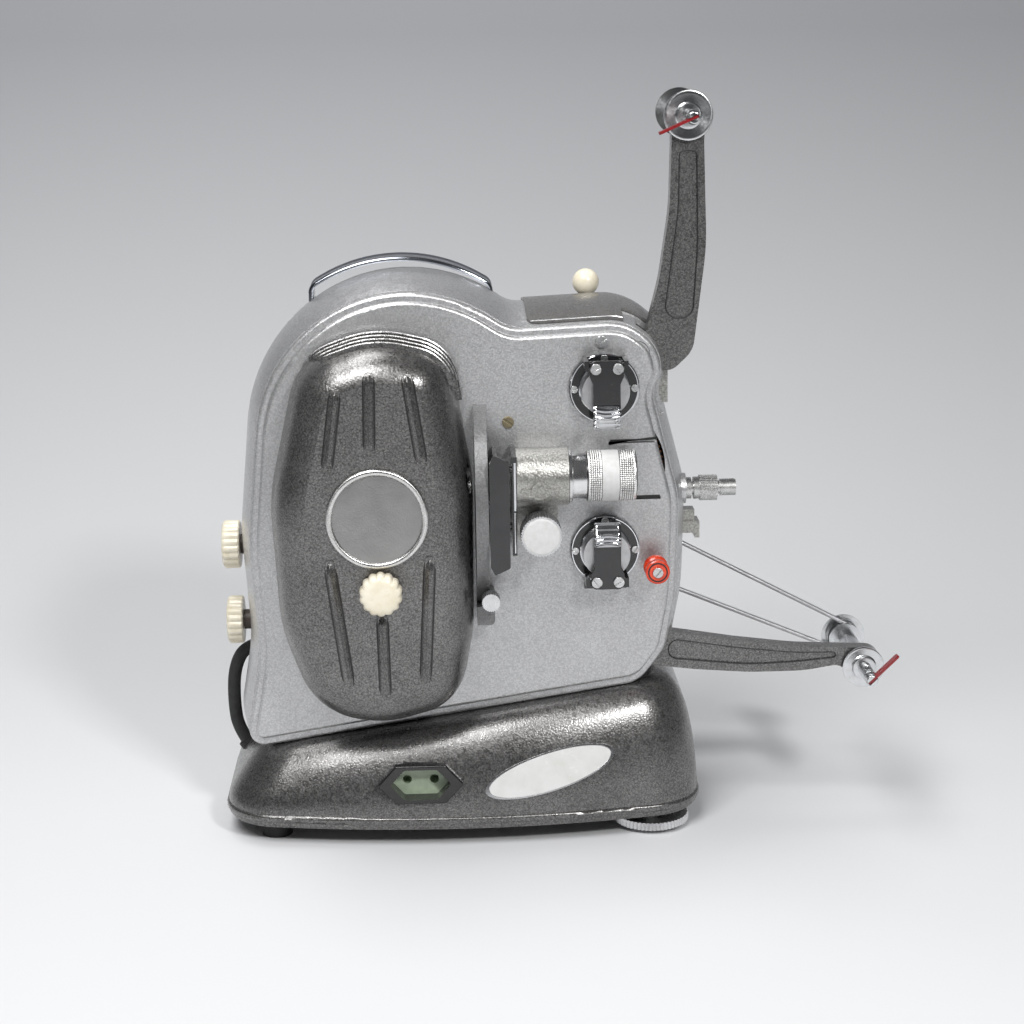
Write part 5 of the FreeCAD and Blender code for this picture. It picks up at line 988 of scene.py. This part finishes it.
def make_panel_shade_line(end, corners):
    """A fine dark line of painted shade round the sunk panel of a spool arm, where the panel's step falls in
    shade.
    """
    shape = Shape()
    shape.add_tube(outline_at(corners, 0.0, arm_face_y), 0.34, 8, closed=True)
    # A dark tube painted as the shade on the step round the sunk panel
    make_piece(end + "_panel_shade_line", shape, "dark_line_and_shade", end + "_arm_body")


def make_cover_lip_highlights():
    """Painted highlights: bright tubes along the edges of the steps over the top of the lamp cover."""
    for number, (offset, y, low, left, right) in enumerate(cover_lips, 1):
        points = outline_at(lamp_outline, offset, y, 40)
        kept = [p for p in points if p.z > low and left < p.x < right]
        kept.sort(key=lambda p: p.x)
        shape = Shape()
        shape.add_tube(kept, lip_r, 8)
        make_piece("cover_lip_%d" % number, shape, "lip_highlight", "lamp_cover_body")


def make_plate_slot_shade():
    """Dark plates painted as the shade inside the two slots beside the lens."""
    shape = Shape()
    for outline in (upper_slot, lower_slot):
        shape.add_plate(outline, plate_face_y - 0.4, plate_face_y + 0.4)
    # Near-black plates painted as the shade inside the slots
    make_piece("plate_slot_shade", shape, "dark_line_and_shade", "frame", bevel=0.15)


def make_roller():
    """The red film roller: two flanges, a waist, and the dark ring round its pin."""
    x, z, seat = roller_screw[:3]
    wheel = Shape()
    wheel.add_lathe([(0.0, 2.2), (0.0, 6.3), (0.5, 7.0), (3.3, 7.0), (3.9, 6.6), (4.6, 5.3), (9.2, 5.3),
                     (10.0, 6.6), (10.6, 7.0), (13.4, 7.0), (14.0, 6.4), (14.0, 2.2)],
                    (x, seat, z), "Y", 96, closed=True)
    make_piece("roller_wheel", wheel, "roller", "roller_body", ["film_roller"])
    ring = Shape()
    ring.add_lathe([(-0.15, 4.9), (-0.15, 5.7), (0.1, 5.7), (0.1, 4.9)], (x, seat, z), "Y", 64, closed=True)
    make_piece("roller_ring", ring, "dark_line_and_shade", "roller_body")


def make_gate_edge_highlight():
    """A painted highlight along the edge of the lens holder's plate, set back where the gate knob passes."""
    shape = Shape()
    for y, low, high, radius in gate_edges:
        shape.add_tube([(gate_edge_x, y, low), (gate_edge_x, y, high)], radius)
    # Chrome tubes painted as highlights along the holder's edge
    make_piece("gate_edge_highlight", shape, "chrome", "carriage_body")


def make_lens_collar():
    """The bright collar where the lens barrel leaves its holder."""
    shape = Shape()
    shape.add_lathe([(0.0, 13.1), (0.0, 14.9), (0.4, 15.3), (1.8, 15.3), (2.2, 14.9), (2.2, 13.1)],
                    (holder_end_x, lens_y, lens_z), "X", 96, closed=True)
    make_piece("lens_collar", shape, "lens_metal", "carriage_body")


def make_spool_disc(end, spool, radius):
    """The turned front disc of a spool spindle, with its hub."""
    disc = Shape()
    disc.add_lathe([(0.0, 0), (0.0, radius), (0.7, radius + 0.05), (1.2, radius - 0.15), (1.45, radius - 0.9),
                    (1.3, radius - 2.0), (1.3, 7.6), (1.8, 6.9), (3.9, 6.7), (4.0, 6.2), (4.0, 0)],
                   (spool[0], disc_back_y, spool[1]), "-Y", 128)
    make_piece(end + "_spool_disc", disc, end + "_spindle", end + "_spindle_body")


def make_cable():
    """The black rubber cable from the case down into the foot."""
    data = bpy.data.curves.new("link_cable_flex", "CURVE")
    data.dimensions = "3D"
    data.bevel_depth = cable_r * MM
    data.bevel_resolution = 6
    data.resolution_u = 16
    data.use_fill_caps = True
    spline = data.splines.new("NURBS")
    spline.points.add(len(cable_route) - 1)
    for point, (x, z) in zip(spline.points, cable_route):
        point.co = (x * MM, cable_y * MM, z * MM, 1.0)
    spline.order_u = 3
    spline.use_endpoint_u = True
    data.materials.append(materials["rubber"])
    flex = link(bpy.data.objects.new("link_cable_flex", data))
    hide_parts("link_cable")
    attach(flex, "frame")


def make_stage():
    """A pale floor that sweeps up into a backdrop, with painted shade: the paper darkens with height."""
    floor_front, floor_end, bend, top, half_width = -3.0, 0.3, 0.9, 4.0, 4.0
    steps = 16
    profile = [(floor_front, 0.0), (floor_end, 0.0)]
    for i in range(1, steps + 1):
        a = math.radians(90 * i / steps)
        profile.append((floor_end + bend * math.sin(a), bend - bend * math.cos(a)))
    profile.append((floor_end + bend, top))
    mesh = bpy.data.meshes.new("studio_sweep")
    verts = [(x, y, z) for x in (-half_width, half_width) for y, z in profile]
    count = len(profile)
    faces = [(i, i + 1, count + i + 1, count + i) for i in range(count - 1)]
    mesh.from_pydata(verts, [], faces)
    mesh.polygons.foreach_set("use_smooth", [True] * len(mesh.polygons))
    f = Finish("studio_paper", (0.74, 0.745, 0.755), 0.8)
    height = f.add("SeparateXYZ", {"Vector": f.coords}).outputs["Z"]
    paper = f.mix(f.noise(0.5, 2.0), (0.68, 0.685, 0.695), (0.71, 0.715, 0.725))
    # Painted shade: the paper's colour darkens from the floor up the backdrop, where the light falls off
    f.set("Base Color", f.mix(f.span(height, 0.0, 0.45), paper, (0.36, 0.365, 0.38)))
    mesh.materials.append(f.material)
    link(bpy.data.objects.new("studio_sweep", mesh))


def make_light(name, place, target, size, power):
    data = bpy.data.lights.new(name, "AREA")
    data.shape = "RECTANGLE"
    data.size, data.size_y = size
    data.energy = power
    light = link(bpy.data.objects.new(name, data))
    light.location = place
    light.rotation_euler = (Vector(target) - Vector(place)).to_track_quat("-Z", "Y").to_euler()


def make_lights():
    make_light("key_softbox", (-0.45, -0.95, 1.55), (-0.02, 0.0, 0.2), (0.8, 0.8), 22.0)
    make_light("rim_softbox", (-0.35, 0.15, 1.5), (-0.05, 0.0, 0.25), (0.9, 0.5), 9.0)
    make_light("front_softbox", (0.65, -1.35, 1.2), (0.0, 0.0, 0.15), (0.22, 0.22), 15.0)
    world = bpy.data.worlds.new("studio_world")
    world.use_nodes = True
    background = world.node_tree.nodes["Background"]
    background.inputs["Color"].default_value = (0.55, 0.56, 0.58, 1.0)
    background.inputs["Strength"].default_value = 0.12
    bpy.context.scene.world = world
    bpy.context.scene.view_settings.view_transform = "Standard"


make_camera()
make_cable()
paint_nodes()
make_ribs()
make_badge()
make_lamp_knob()
make_rear_knob("speed_knob", speed_knob_x, speed_knob_z)
make_rear_knob("switch_knob", switch_knob_x, switch_knob_z)
make_gate_knob_face()
make_focus_ring()
make_shoe("upper_shoe", upper_sprocket_z, 1)
make_shoe("lower_shoe", lower_sprocket_z, -1)
make_flange_trim("upper", upper_sprocket_z)
make_flange_trim("lower", lower_sprocket_z)
make_handle()
make_spring_belt()
make_lid_edge_highlight()
make_screws()
make_panel_shade_line("upper", upper_recess)
make_panel_shade_line("lower", lower_recess)
make_cover_lip_highlights()
make_plate_slot_shade()
make_roller()
make_gate_edge_highlight()
make_lens_collar()
make_spool_disc("upper", upper_spool, upper_disc_r)
make_spool_disc("lower", lower_spool, lower_disc_r)
make_stage()
make_lights()
